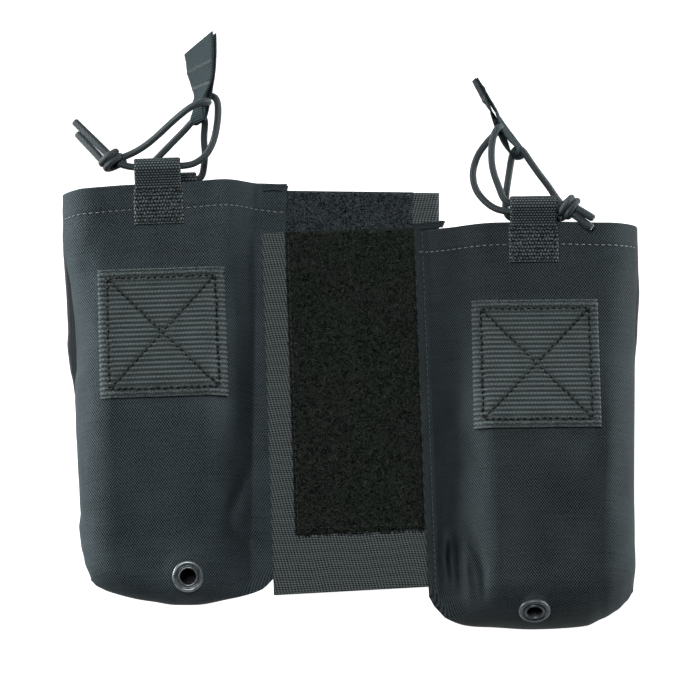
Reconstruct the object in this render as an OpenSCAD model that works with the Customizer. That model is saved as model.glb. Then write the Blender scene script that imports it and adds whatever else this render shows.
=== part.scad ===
// Pair of open-top nylon pouches joined by overlapping hook-and-loop wings.
// The pair lies on its back: +Z out of the fronts, +Y towards the mouths, +X to the right.

/* [Pouches] */
// Width across the mouth of a pouch, lying flat
mouth_w = 89; // [80:1:110]
// Height of the open mouth
mouth_h = 14; // [12:0.5:20]
// Thickness of the nylon front, sides and hem
wall_t = 1.2; // [0.8:0.1:1.8]
// Thickness of the back panels
panel_t = 1; // [0.6:0.1:2]
// Length of front that stays level below the mouth
level_len = 26; // [20:1:34]
// Width of the rounded side away from the wing
side_run = 14; // [10:1:18]
// Width of the back panel's corner that shows above the mouth
corner_w = 10; // [6:0.5:14]
// How far that corner stands above the mouth
corner_out = 1.6; // [0.5:0.1:4]

/* [Left pouch] */
// Length from the mouth to the bottom
left_len = 169; // [150:1:190]
// Width at the bottom
left_foot_w = 73; // [66:1:86]
// Greatest height of the front
left_body_h = 22; // [17:0.5:30]
// Distance of that height from the mouth
left_body_at = 92; // [80:1:110]
// Height of the front near the bottom
left_low_h = 12; // [9:0.5:20]
// Length of the rounding at the bottom
left_round = 10; // [7:0.5:20]
// How far the bottom's corners are drawn up
left_sag = 9; // [4:0.5:14]
// Power of the bottom's curve
left_curve = 2.4; // [2:0.1:5]
// Turn of the pouch on the table
left_turn = 2; // [0:0.1:4]
// Shift of the front's middle away from the wing
left_shift = 7; // [0:0.5:9]
// Shift of the rear keeper away from the wing
left_rear_shift = 1; // [-6:0.5:6]
// Distance of the patch below the mouth
left_patch_drop = 35; // [28:0.5:42]
// Distance of the eyelet above the bottom
left_eyelet_up = 11.5; // [8:0.5:20]
// Lean of the eyelet towards the bottom
left_eyelet_tilt = 11; // [0:1:30]
// Width of the flat sewn margin beside the wing, on which the right wing's edge lies
left_margin = 12; // [11.5:0.5:16]
// Width of the rounded slope from that margin up to the front
left_slope = 20; // [16:1:26]

/* [Right pouch] */
// Length from the mouth to the bottom
right_len = 162; // [150:1:190]
// Width at the bottom
right_foot_w = 82; // [70:1:88]
// Greatest height of the front
right_body_h = 26; // [17:0.5:30]
// Distance of that height from the mouth
right_body_at = 100; // [80:1:115]
// Height of the front near the bottom
right_low_h = 24; // [14:0.5:28]
// Length of the rounding at the bottom
right_round = 18; // [10:0.5:24]
// How far the bottom's corners are drawn up
right_sag = 9; // [4:0.5:14]
// Power of the bottom's curve
right_curve = 4; // [2:0.1:5]
// Turn of the pouch on the table
right_turn = 0.8; // [0:0.1:2]
// Shift of the front's middle away from the wing
right_shift = 2.5; // [0:0.5:9]
// Shift of the rear keeper away from the wing
right_rear_shift = 5; // [-6:0.5:8]
// Distance of the patch below the mouth
right_patch_drop = 32.5; // [28:0.5:42]
// Distance of the eyelet above the bottom
right_eyelet_up = 6.5; // [5:0.5:20]
// Lean of the eyelet towards the bottom
right_eyelet_tilt = 54; // [30:1:62]
// Width of the flat sewn margin beside the wing
right_margin = 4; // [3:0.5:8]
// Width of the rounded slope from that margin up to the front
right_slope = 25; // [20:1:28]
// Height of the wing side, which lies on the left wing
right_lift = 2.3; // [1.6:0.1:4]

/* [Webbing] */
// Width of the patch
patch_w = 51; // [40:0.5:56]
// Height of the patch
patch_l = 52.5; // [40:0.5:56]
// Thickness of the patch
patch_t = 1.2; // [0.8:0.1:2]
// Width of the keepers
strap_w = 19; // [15:0.5:25]
// Thickness of the keepers' webbing
strap_t = 1.1; // [0.7:0.1:1.4]
// How far a front keeper stands out of the mouth
keeper_out = 10.7; // [9.7:0.1:14]
// Length of a front keeper that is sewn down
keeper_leg = 16; // [10:0.5:19]
// Radius inside a front keeper's fold
keeper_r = 3.3; // [3:0.1:3.6]
// How far a rear keeper stands out of the mouth
rear_out = 6.4; // [6.2:0.1:9]
// Length of a rear keeper that is sewn down
rear_leg = 14; // [8:0.5:19]
// Radius inside a rear keeper's fold
rear_r = 1.9; // [1.7:0.1:2.1]

/* [Eyelets] */
// Outer diameter of the eyelet
eyelet_d = 12.5; // [11:0.5:15]
// Bore of the eyelet
bore_d = 6.1; // [4:0.1:7]
// Height of the eyelet's rim
rim_t = 1.4; // [1:0.1:2]
// Thickness of the eyelet's barrel
barrel_t = 0.4; // [0.3:0.05:0.6]
// Outer diameter of the washer inside
washer_d = 11.5; // [10:0.5:14]
// Thickness of the washer
washer_t = 0.5; // [0.4:0.1:1]
// Thickness of the flattened cloth under the eyelet
seat_t = 2.6; // [2:0.1:4]

/* [Wings] */
// Distance between the two pouches at their mouths
seam_gap = 51; // [46:0.5:54]
// How much lower the right mouth lies than the left one
mouth_step = 18; // [10:0.5:26]
// Width of a wing
wing_w = 60; // [55:0.5:62]
// Height of a wing
wing_h = 145.5; // [120:0.5:150]
// Thickness of a wing's elastic ground
base_t = 1; // [0.7:0.1:1.3]
// Thickness of the loop pile
loop_t = 1.2; // [0.8:0.1:1.4]
// Thickness of the hook tape
hook_t = 0.9; // [0.6:0.1:1.4]
// Bare ground along a wing's free edge
bare_side = 10.5; // [9.8:0.1:13]
// Bare ground along a wing's bottom
bare_foot = 23.5; // [15:0.5:30]
// Distance of the left wing's top below its pouch's mouth
left_wing_drop = 3; // [1:0.5:8]
// Distance of the right wing's top below its pouch's mouth
right_wing_drop = 0.5; // [0:0.5:6]
// Clearance between layers that move past each other
layer_gap = 0.3; // [0.1:0.05:0.5]

/* [Pull tabs] */
// Width of the tape
tape_w = 19; // [15:0.5:20]
// Thickness of the tape
tape_t = 0.8; // [0.5:0.1:1]
// Height of the tape where it is bunched in the eye
eye_h = 7; // [5:0.5:9]
// Radius inside the left tab's eye
left_eye_r = 2.6; // [2.5:0.1:3]
// Radius inside the right tab's eye
right_eye_r = 3; // [2.8:0.1:3.4]

/* [Cord] */
// Diameter of the shock cord
cord_d = 2.6; // [2:0.1:2.7]
// Diameter of a knot
knot_d = 9.6; // [8:0.2:10]

/* [Hidden] */
$fn = 48;
nylon_colour = "#333a3d";
webbing_colour = "#40464a";
pile_colour = "#1b1e1c";
ground_colour = "#454b4c";
cord_colour = "#343b3e";
metal_colour = "#2a2c2d";
seat_up = 0.8; // the flattened cloth stands this far out of the curved front
lip_t = 0.4; // turned-over end of the eyelet's barrel
slip = 0.05; // radial clearance of the barrel in its washer and cloth
patch_gap = 0.3; // clearance between the patch and the curved front
level_spare = 2; // flat cloth between the front's level middle and the slope
seam_slit = 0.3; // clearance between the right wing and its pouch's seam

// Sheet-metal section of the eyelet's rim, as shares of its width and height
rim_section = [[0, 0], [0, 0.75], [0.2, 0.94], [0.5, 1], [0.8, 0.78], [1, 0.3], [1, 0]];

// How each pouch lies, in the order that the functions below read
left_lie = [
  left_len, left_foot_w, left_body_h, left_body_at, left_low_h, left_round, left_sag,
  left_curve, left_turn, left_shift, left_rear_shift, left_patch_drop, left_eyelet_up,
  left_eyelet_tilt, left_margin, left_slope
];
right_lie = [
  right_len, right_foot_w, right_body_h, right_body_at, right_low_h, right_round, right_sag,
  right_curve, right_turn, right_shift, right_rear_shift, right_patch_drop, right_eyelet_up,
  right_eyelet_tilt, right_margin, right_slope
];
function reach(p) = p[0];
function foot_w(p) = p[1];
function body_h(p) = p[2];
function body_at(p) = p[3];
function low_h(p) = p[4];
function round_run(p) = p[5];
function sag(p) = p[6];
function curve(p) = p[7];
function turn(p) = p[8];
function front_shift(p) = p[9];
function rear_shift(p) = p[10];
function patch_drop(p) = p[11];
function eyelet_up(p) = p[12];
function eyelet_tilt(p) = p[13];
function margin(p) = p[14];
function slope_run(p) = p[15];

// Smooth step, and a quarter circle that rises from 0 to 1
function ease(t) = t <= 0 ? 0 : t >= 1 ? 1 : t * t * (3 - 2 * t);
function arc(t) = t <= 0 ? 0 : t >= 1 ? 1 : sqrt(1 - (1 - t) * (1 - t));

// A pouch in its own frame: the middle of its mouth at the origin, its bottom towards -Y, the
// seam with the wing on the +X side. u runs from the outer side to the seam, s down from the mouth.
function full_w(p, s) = mouth_w + (foot_w(p) - mouth_w) * s / reach(p);
function crown(p, s) =
  s <= body_at(p)
  ? mouth_h + (body_h(p) - mouth_h) * ease((s - level_len) / (body_at(p) - level_len))
  : body_h(p) + (low_h(p) - body_h(p))
    * ease((s - body_at(p)) / (reach(p) - round_run(p) - body_at(p)));
function slope(p, from_seam) = sin(90 * min(1, max(0, (from_seam - margin(p)) / slope_run(p))));

// Height above the back panel of the front's outer face, and of its inner face
function skin(p, u, s) =
  arc((reach(p) - s) / round_run(p)) * arc(u * full_w(p, s) / side_run)
  * (wall_t + (crown(p, s) - wall_t) * slope(p, (1 - u) * full_w(p, s)));
function lining(p, u, s) =
  arc((reach(p) - wall_t - s) / (round_run(p) - wall_t))
  * arc(u * (full_w(p, s) - wall_t) / (side_run - wall_t))
  * (crown(p, s) - wall_t) * slope(p, (1 - u) * (full_w(p, s) - wall_t));

// A point of the front at (u, v), where inset draws the inner face in from the sides and bottom
function drawn_up(p, u) = sag(p) * pow(abs(2 * u - 1), curve(p));
function place_x(p, u, s, inset) = inset - full_w(p, s) / 2 + u * (full_w(p, s) - inset);
function place_y(p, u, v, inset) = -v * (reach(p) - drawn_up(p, u) - inset);
function outer_point(p, u, v) =
  let (s = v * reach(p))
  [place_x(p, u, s, 0), place_y(p, u, v, 0), skin(p, u, s)];
function inner_point(p, u, v) =
  let (s = v * (reach(p) - wall_t))
  [place_x(p, u, s, wall_t), place_y(p, u, v, wall_t), lining(p, u, s)];
function share_u(p, x, s) = (x + full_w(p, s) / 2) / full_w(p, s);
function front_z(p, x, s) = panel_t + skin(p, share_u(p, x, s), s);

// Steps across the front and down it, closer together where it is round
side_steps = [for (a = [0 : 15 : 75]) side_run * (1 - cos(a)) / mouth_w];
front_start = side_run / mouth_w;
function u_steps(p) =
  let (
    start = (mouth_w - margin(p) - slope_run(p) - level_spare) / mouth_w,
    end = (mouth_w - margin(p)) / mouth_w
  )
  concat(
    side_steps,
    [for (i = [0 : 2]) front_start + (start - front_start) * i / 3],
    [for (i = [0 : 6]) start + (end - start) * i / 6],
    [1]
  );
function v_steps(p) =
  let (run = round_run(p) / reach(p), level = level_len / reach(p), n = 14)
  concat(
    [0, level * 0.65],
    [for (i = [0 : n - 1]) level + (1 - run - level) * i / n],
    [for (a = [0 : 15 : 90]) 1 - run + run * sin(a)]
  );

// The two triangles of one cell of a grid, or of a strip between two rows
function cell(a, b, c, d) = [[a, c, b], [a, d, c]];
function joined(lists) = [for (list = lists) for (item = list) item];

// A sheet with a thickness: its top grid, its bottom grid and the strips that close its edges
module sheet(top, bottom) {
  n = len(top);
  m = len(top[0]);
  under = n * m;
  top_cells = [
    for (i = [0 : n - 2]) for (j = [0 : m - 2])
      cell(i * m + j + 1, (i + 1) * m + j + 1, (i + 1) * m + j, i * m + j)
  ];
  bottom_cells = [
    for (i = [0 : n - 2]) for (j = [0 : m - 2])
      cell(under + (i + 1) * m + j, under + (i + 1) * m + j + 1, under + i * m + j + 1, under + i * m + j)
  ];
  ends = [
    for (j = [0 : m - 2]) each [
      cell(under + j, under + j + 1, j + 1, j),
      cell((n - 1) * m + j, (n - 1) * m + j + 1, under + (n - 1) * m + j + 1, under + (n - 1) * m + j)
    ]
  ];
  sides = [
    for (i = [0 : n - 2]) each [
      cell(i * m, (i + 1) * m, under + (i + 1) * m, under + i * m),
      cell(under + i * m + m - 1, under + (i + 1) * m + m - 1, (i + 1) * m + m - 1, i * m + m - 1)
    ]
  ];
  polyhedron(
    concat(joined(top), joined(bottom)),
    joined(concat(top_cells, bottom_cells, ends, sides)),
    convexity = 6
  );
}

// Where the pouches stand: first from the left seam's corner, then about the whole pair's middle
function spun(point, angle) = [
  point.x * cos(angle) - point.y * sin(angle),
  point.x * sin(angle) + point.y * cos(angle)
];
left_start = spun([-mouth_w / 2, 0], left_turn);
right_start = [seam_gap, -mouth_step] + spun([mouth_w / 2, 0], right_turn);
left_outer = left_start + spun([-mouth_w / 2, 0], left_turn);
right_outer = right_start + spun([mouth_w / 2, 0], right_turn);
keeper_top = left_start + spun([strap_w / 2 - left_shift, keeper_out], left_turn);
right_foot = [
  for (u = [0 : 0.02 : 1])
    (right_start + spun([-place_x(right_lie, u, right_len, 0), place_y(right_lie, u, 1, 0)], right_turn)).y
];
middle = [(left_outer.x + right_outer.x) / 2, (keeper_top.y + min(right_foot)) / 2];
left_at = left_start - middle;
right_at = right_start - middle;

// A point of a pouch's own frame in the frame of the pair
function on_left(point) = left_at + spun(point, left_turn);
function on_right(point) = right_at + spun([-point.x, point.y], right_turn);
function seam_at(p, s) = [full_w(p, s) / 2, -s];

// The right pouch is a mirror image, tilted about its outer edge
module stand(right) {
  at = right ? right_at : left_at;
  translate([at.x, at.y, 0])
    rotate([0, 0, right ? right_turn : left_turn])
      mirror([right ? 1 : 0, 0, 0])
        translate([-mouth_w / 2, 0, 0])
          rotate([0, right ? -asin(right_lift / mouth_w) : 0, 0])
            translate([mouth_w / 2, 0, 0])
              children();
}

// The eyelet's own frame, on the front near the bottom, with +Z out of the front
module eyelet_frame(p) {
  s = reach(p) - eyelet_up(p);
  translate([0, -s, front_z(p, 0, s)])
    rotate([eyelet_tilt(p), 0, 0])
      translate([0, 0, seat_up])
        children();
}
barrel_d = bore_d + 2 * barrel_t;

module front_shell(p) {
  top = [for (u = u_steps(p)) [for (v = v_steps(p)) outer_point(p, u, v)]];
  bottom = [for (u = u_steps(p)) [for (v = v_steps(p)) inner_point(p, u, v)]];
  difference() {
    union() {
      translate([0, 0, panel_t])
        sheet(top, bottom);
      eyelet_frame(p)
        translate([0, 0, -seat_t])
          cylinder(d = eyelet_d + 1, h = seat_t);
    }
    eyelet_frame(p)
      translate([0, 0, -seat_t - wall_t])
        cylinder(d = barrel_d + 2 * slip, h = seat_t + 2 * wall_t);
    eyelet_frame(p)
      translate([0, 0, -seat_t - 2 * wall_t])
        cylinder(d = washer_d + 2 * layer_gap, h = 2 * wall_t);
  }
}

module back_panel(p) {
  outer_side = [for (v = v_steps(p)) outer_point(p, 0, v)];
  foot = [for (u = u_steps(p)) outer_point(p, u, 1)];
  seam_side = [for (v = v_steps(p)) outer_point(p, 1, v)];
  last = len(seam_side) - 1;
  outline = concat(
    [for (point = outer_side) [point.x, point.y]],
    [for (i = [1 : len(foot) - 2]) [foot[i].x, foot[i].y]],
    [for (i = [last : -1 : 0]) [seam_side[i].x, seam_side[i].y]],
    [
      [mouth_w / 2, corner_out],
      [mouth_w / 2 - corner_w, corner_out],
      [mouth_w / 2 - corner_w, 0]
    ]
  );
  linear_extrude(panel_t)
    polygon(outline);
}

module webbing_patch(p) {
  n = 20;
  m = 10;
  xs = [for (i = [0 : n]) patch_w * (i / n - 0.5) - front_shift(p)];
  ss = [for (i = [0 : m]) patch_drop(p) + patch_l * i / m];
  top = [for (x = xs) [for (s = ss) [x, -s, front_z(p, x, s) + patch_gap + patch_t]]];
  bottom = [for (x = xs) [for (s = ss) [x, -s, front_z(p, x, s) + patch_gap]]];
  sheet(top, bottom);
}

// Angle at which a line from a point touches a circle, above it for side 1 and below it for side -1
function touch(point, centre, r, side) =
  let (
    away = point - centre,
    angle = atan2(away.y, away.x) - side * acos(r / norm(away)),
    turned = (angle + 720) % 360
  )
  side > 0 ? turned : turned - 360;
function bow(centre, r, from, to) = [
  for (i = [0 : 20])
    let (angle = from + (to - from) * i / 20)
    centre + r * [cos(angle), sin(angle)]
];

// A strap folded round a cord: two legs along -X, their inner faces gap apart, then a teardrop
// eye that ends at +X. The strap is extruded along +Z.
module strap_loop(width, leg, out, r, thick, gap, rise) {
  half = gap / 2;
  top = half + thick;
  centre = [out - r - thick, rise];
  high = [0, top];
  low = [0, -top];
  outside = bow(centre, r + thick, touch(high, centre, r + thick, 1), touch(low, centre, r + thick, -1));
  inside = bow(centre, r, touch([0, -half], centre, r, -1), touch([0, half], centre, r, 1));
  outer = concat([[-leg, top], high], outside, [low, [-leg, -top]]);
  linear_extrude(width)
    if (half > 0)
      polygon(concat(outer, [[-leg, -half], [0, -half]], inside, [[0, half], [-leg, half]]));
    else
      difference() {
        polygon(outer);
        polygon(concat([[0, 0]], inside));
      }
}

// Turns a strap so that its eye points to +Y, its width lies along X and its thickness along Z
module laid_strap(shift, z) {
  translate([-shift - strap_w / 2, 0, z])
    rotate([90, 0, 90])
      children();
}

module front_keeper(p) {
  laid_strap(front_shift(p), panel_t + mouth_h - wall_t / 2)
    strap_loop(strap_w, keeper_leg, keeper_out, keeper_r, strap_t, wall_t, 0);
}

rear_rise = rear_r - panel_t + layer_gap / 3; // lifts the rear keeper's eye clear of the table
module rear_keeper(p) {
  laid_strap(rear_shift(p), panel_t + strap_t)
    strap_loop(strap_w, rear_leg, rear_out, rear_r, strap_t, 0, rear_rise);
}

module eyelet(p) {
  width = (eyelet_d - bore_d) / 2;
  rim = [for (point = rim_section) [bore_d / 2 + width * point.x, rim_t * point.y]];
  end = -seat_t - washer_t;
  barrel = [
    [barrel_d / 2, 0],
    [barrel_d / 2, end],
    [barrel_d / 2 + barrel_t, end],
    [barrel_d / 2 + barrel_t, end - lip_t],
    [bore_d / 2, end - lip_t]
  ];
  eyelet_frame(p)
    rotate_extrude()
      polygon(concat([for (i = [1 : len(rim) - 1]) rim[i]], barrel));
}

module eyelet_washer(p) {
  eyelet_frame(p)
    translate([0, 0, -seat_t - washer_t])
      difference() {
        cylinder(d = washer_d, h = washer_t);
        translate([0, 0, -washer_t])
          cylinder(d = barrel_d + 2 * slip, h = 3 * washer_t);
      }
}

// Heights of the layers where the wings overlap
left_loop_z = base_t;
hook_z = left_loop_z + loop_t + layer_gap;
right_base_z = hook_z + hook_t;
right_loop_z = right_base_z + base_t;

// Four corners of a wing or of a field on it. A wing starts along its pouch's seam and runs away
// from it: near and far are distances from the seam, and start and end are distances down it.
left_top = on_left(seam_at(left_lie, left_wing_drop));
left_low = on_left(seam_at(left_lie, left_wing_drop + wing_h));
right_top = on_right(seam_at(right_lie, right_wing_drop)) - [seam_slit, 0];
right_low = on_right(seam_at(right_lie, right_wing_drop + wing_h)) - [seam_slit, 0];
function unit(v) = v / norm(v);
function field(top, low, side, near, far, start, end) =
  let (
    down = unit(low - top),
    away = side * [-down.y, down.x]
  )
  [
    top + near * away + start * down,
    top + far * away + start * down,
    top + far * away + end * down,
    top + near * away + end * down
  ];
module slab(corners, z, thick) {
  translate([0, 0, z])
    linear_extrude(thick)
      polygon(corners);
}
module left_field(near, far, start, end, z, thick) {
  slab(field(left_top, left_low, 1, near, far, start, end), z, thick);
}
module right_field(near, far, start, end, z, thick) {
  slab(field(right_top, right_low, -1, near, far, start, end), z, thick);
}

// A flat piece of tape between two points, its width as near as it can be to the way across
module plank(from, to, across, width, thick) {
  along = unit(to - from);
  wide = unit(across - along * (along * across));
  up = cross(along, wide);
  multmatrix([
    [along.x, wide.x, up.x, from.x],
    [along.y, wide.y, up.y, from.y],
    [along.z, wide.z, up.z, from.z],
    [0, 0, 0, 1]
  ])
    translate([0, -width / 2, -thick / 2])
      cube([norm(to - from), width, thick]);
}

// A pull tab: a sewn tail of two layers, and an eye on edge that holds both cords' bends
module pull_tab(tail, neck, fold, across, r) {
  way = fold - neck;
  translate([neck.x, neck.y, neck.z - eye_h / 2])
    rotate([0, 0, atan2(way.y, way.x)])
      strap_loop(eye_h, tape_t, norm([way.x, way.y]), r, tape_t, 0, 0);
  plank(neck, tail, across, tape_w, 2 * tape_t);
}
left_tail = [-61, 142, 8.2];
left_neck = [-57.5, 123, 19];
left_fold = [-61.5, 107.5, 19];
left_across = [28, 23, 34];
right_tail = [49.5, 127.5, 10];
right_neck = [55.5, 116.5, 11.5];
right_fold = [67.5, 95.5, 11.5];
right_across = [0, 0, 1];

// Routes of the cords
left_front_route = [
  [-93, 92, 13.5], [-89.5, 90.8, 14.2], [-86, 90.3, 14.4], [-77, 90.6, 14.4], [-67, 90.9, 14.4],
  [-62.5, 91.8, 14.6], [-58, 95, 15], [-55, 101, 14.6], [-53.5, 107.5, 13.8], [-54.2, 112, 13],
  [-56.2, 114.1, 13], [-58.3, 114.6, 13.3], [-59.4, 114.9, 15], [-59.6, 115, 19], [-59.7, 115, 23],
  [-60.8, 115.2, 24.6], [-63, 114.2, 24.6], [-66.5, 111.4, 23.2], [-71.5, 107.4, 20.2],
  [-79, 101, 17], [-85, 97, 15], [-90, 94.8, 14], [-93.5, 93.5, 13.5]
];
left_rear_route = [
  [-72, 86.9, 3.1], [-61.5, 87.2, 3.1], [-59.6, 88.6, 3.4], [-58.6, 93, 6], [-58.3, 98, 9],
  [-59.3, 102.6, 11.6], [-60.3, 107, 13.2], [-60.6, 109.6, 13.6], [-60.7, 110.8, 15.2],
  [-60.7, 110.8, 19], [-60.8, 110.8, 23], [-62, 110.4, 24.6], [-64, 109, 24.6],
  [-67, 105.6, 21.5], [-70.5, 102, 16.5], [-75, 97.6, 10], [-79, 93.8, 6.2], [-82.5, 90.2, 3.8],
  [-82.8, 87.6, 3.2], [-80.5, 86.6, 3.1], [-72.6, 86.9, 3.1]
];
right_front_route = [
  [85, 73.8, 17], [81.5, 72.8, 15.7], [72, 72.4, 15.5], [62.5, 72.2, 15.7], [56, 74.4, 15],
  [50.5, 80.6, 13], [48.8, 88, 10.5], [50.6, 95.6, 8], [54, 101, 6.4], [57.8, 104.4, 5.8],
  [60, 105.7, 6], [61.1, 106.4, 7.6], [61.3, 106.4, 11.5], [61.1, 106.4, 15.4], [60, 105.7, 17],
  [57.8, 103.2, 17.2], [56.2, 97.5, 17], [56.5, 90, 16.8], [58.8, 82.8, 16], [62.5, 75.8, 15.7],
  [72, 75.7, 15.5], [81.5, 75.4, 15.7], [85, 74.8, 17]
];
right_rear_route = [
  [76, 71.2, 4.1], [65.5, 71.1, 4.3], [63, 72, 4.3], [62, 75, 4.6], [62.2, 81, 5],
  [63.4, 88, 5.2], [64.9, 94.4, 5.4], [65.5, 97.6, 6], [65.6, 98.8, 7.6], [65.6, 98.8, 11.5],
  [65.7, 98.8, 15.4], [66.8, 98.9, 17], [69, 97.6, 17.2], [71.3, 94.4, 16], [75, 88.8, 13],
  [79, 83.8, 9], [82.4, 79, 6.4], [85.4, 75.6, 4.8], [86.4, 73, 4], [84.5, 71.3, 3.9],
  [77, 71.2, 4.1]
];

// A round tube swept along a route, as one closed solid with a radius at each point
module tube(route, radii, sides) {
  last = len(route) - 1;
  ways = [for (i = [0 : last]) unit(route[min(i + 1, last)] - route[max(i - 1, 0)])];
  first = unit(cross(ways[0], [0.3, 0.2, 1]));
  frames = [
    for (i = 0, n = first; i <= last; i = i + 1, n = i > last ? n : unit(n - ways[i] * (ways[i] * n)))
      [n, cross(ways[i], n)]
  ];
  turns = [for (k = [0 : sides - 1]) 360 * k / sides];
  rings = [
    for (i = [0 : last])
      [for (a = turns) route[i] + radii[i] * (frames[i][0] * cos(a) + frames[i][1] * sin(a))]
  ];
  walls = [
    for (i = [0 : last - 1]) for (k = [0 : sides - 1])
      let (next = (k + 1) % sides)
      cell(i * sides + k, i * sides + next, (i + 1) * sides + next, (i + 1) * sides + k)
  ];
  caps = [
    [for (k = [0 : sides - 1]) k],
    [for (k = [sides - 1 : -1 : 0]) last * sides + k]
  ];
  polyhedron(joined(rings), concat(joined(walls), caps), convexity = 10);
}
module cord(route) {
  tube(route, [for (point = route) cord_d / 2], 8);
}

// A round knot with its two cut ends
knot_steps = [-0.98, -0.86, -0.6, -0.2, 0.2, 0.6, 0.86, 0.98];
module knot(centre, way, tips) {
  tube(
    [for (t = knot_steps) centre + way * knot_d / 2 * t],
    [for (t = knot_steps) knot_d / 2 * sqrt(1 - t * t)],
    12
  );
  for (tip = tips)
    cord([centre, (centre + tip) / 2, tip]);
}
left_knot = [-95.5, 92.8, 13.2];
left_knot_way = [-0.8, 0.6, 0];
left_tips = [[-110.5, 109.5, 6.5], [-109.2, 105, 5.5]];
right_knot = [87.3, 74.4, 17.2];
right_knot_way = [1, 0, 0];
right_tips = [[97, 69.4, 18.6], [96.5, 65.6, 18.2]];

// The nodes
module left_front_shell() { color(nylon_colour) stand(false) front_shell(left_lie); }
module left_back_panel() { color(nylon_colour) stand(false) back_panel(left_lie); }
module left_webbing_patch() { color(webbing_colour) stand(false) webbing_patch(left_lie); }
module left_front_keeper() { color(webbing_colour) stand(false) front_keeper(left_lie); }
module left_rear_keeper() { color(webbing_colour) stand(false) rear_keeper(left_lie); }
module left_eyelet() { color(metal_colour) stand(false) eyelet(left_lie); }
module left_eyelet_washer() { color(metal_colour) stand(false) eyelet_washer(left_lie); }
module left_front_cord() { color(cord_colour) cord(left_front_route); }
module left_rear_cord() { color(cord_colour) cord(left_rear_route); }
module left_cord_knot() { color(cord_colour) knot(left_knot, left_knot_way, left_tips); }
module left_pull_tab() {
  color(webbing_colour) pull_tab(left_tail, left_neck, left_fold, left_across, left_eye_r);
}
module left_wing_base() { color(ground_colour) left_field(0, wing_w, 0, wing_h, 0, base_t); }
module left_wing_loop() {
  color(pile_colour) left_field(0, wing_w - bare_side, 0, wing_h - bare_foot, left_loop_z, loop_t);
}
module right_front_shell() { color(nylon_colour) stand(true) front_shell(right_lie); }
module right_back_panel() { color(nylon_colour) stand(true) back_panel(right_lie); }
module right_webbing_patch() { color(webbing_colour) stand(true) webbing_patch(right_lie); }
module right_front_keeper() { color(webbing_colour) stand(true) front_keeper(right_lie); }
module right_rear_keeper() { color(webbing_colour) stand(true) rear_keeper(right_lie); }
module right_eyelet() { color(metal_colour) stand(true) eyelet(right_lie); }
module right_eyelet_washer() { color(metal_colour) stand(true) eyelet_washer(right_lie); }
module right_front_cord() { color(cord_colour) cord(right_front_route); }
module right_rear_cord() { color(cord_colour) cord(right_rear_route); }
module right_cord_knot() { color(cord_colour) knot(right_knot, right_knot_way, right_tips); }
module right_pull_tab() {
  color(webbing_colour) pull_tab(right_tail, right_neck, right_fold, right_across, right_eye_r);
}
module right_wing_base() { color(ground_colour) right_field(0, wing_w, 0, wing_h, right_base_z, base_t); }
module right_wing_loop() {
  color(pile_colour) right_field(0, wing_w - bare_side, 0, wing_h - bare_foot, right_loop_z, loop_t);
}
module right_wing_hook() {
  color(pile_colour) right_field(0, wing_w - bare_side, 0, wing_h - bare_foot, hook_z, hook_t);
}

left_front_shell();
left_back_panel();
left_webbing_patch();
left_front_keeper();
left_rear_keeper();
left_eyelet();
left_eyelet_washer();
left_front_cord();
left_rear_cord();
left_cord_knot();
left_pull_tab();
left_wing_base();
left_wing_loop();
right_front_shell();
right_back_panel();
right_webbing_patch();
right_front_keeper();
right_rear_keeper();
right_eyelet();
right_eyelet_washer();
right_front_cord();
right_rear_cord();
right_cord_knot();
right_pull_tab();
right_wing_base();
right_wing_loop();
right_wing_hook();
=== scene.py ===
import math
import random

import bmesh
import bpy
import numpy as np
from mathutils import Matrix, Vector, noise


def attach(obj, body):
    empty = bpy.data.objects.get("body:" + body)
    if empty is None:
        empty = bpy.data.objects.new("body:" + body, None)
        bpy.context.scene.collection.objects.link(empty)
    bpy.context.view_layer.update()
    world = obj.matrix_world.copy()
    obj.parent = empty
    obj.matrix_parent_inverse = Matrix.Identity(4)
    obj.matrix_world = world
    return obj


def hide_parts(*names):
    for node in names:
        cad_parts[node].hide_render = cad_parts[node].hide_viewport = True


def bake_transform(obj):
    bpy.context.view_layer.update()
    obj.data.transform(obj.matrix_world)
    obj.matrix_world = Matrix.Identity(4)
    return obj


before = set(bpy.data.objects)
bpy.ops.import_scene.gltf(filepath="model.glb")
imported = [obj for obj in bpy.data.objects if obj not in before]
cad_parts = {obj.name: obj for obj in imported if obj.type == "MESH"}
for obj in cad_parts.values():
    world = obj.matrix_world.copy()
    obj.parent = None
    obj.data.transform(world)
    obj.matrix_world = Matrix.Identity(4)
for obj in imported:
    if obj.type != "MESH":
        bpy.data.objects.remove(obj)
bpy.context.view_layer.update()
mm = 0.001
print("frame loaded:", len(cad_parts), "nodes")


# Small shapes and sums
def ease(t):
    t = min(1.0, max(0.0, t))
    return t * t * (3 - 2 * t)


def arcRise(t):
    t = min(1.0, max(0.0, t))
    return math.sqrt(1 - (1 - t) ** 2)


def lerp(a, b, t):
    return a + (b - a) * t


def gauss(d, width):
    return math.exp(-(d / width) ** 2)


def tableAt(table, t):  # value at t in a list of (t, value)
    if t <= table[0][0]:
        return table[0][1]
    for (a, va), (b, vb) in zip(table, table[1:]):
        if t <= b:
            return lerp(va, vb, ease((t - a) / (b - a)))
    return table[-1][1]


def lineDistance(x, y, line):  # distance to a polyline, and the share of the way along it
    best, share = 1e9, 0.0
    n = len(line) - 1
    for i in range(n):
        ax, ay = line[i]
        dx, dy = line[i + 1][0] - ax, line[i + 1][1] - ay
        t = ((x - ax) * dx + (y - ay) * dy) / (dx * dx + dy * dy)
        t = min(1.0, max(0.0, t))
        d = math.hypot(x - ax - t * dx, y - ay - t * dy)
        if d < best:
            best, share = d, (i + t) / n
    return best, share


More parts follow.
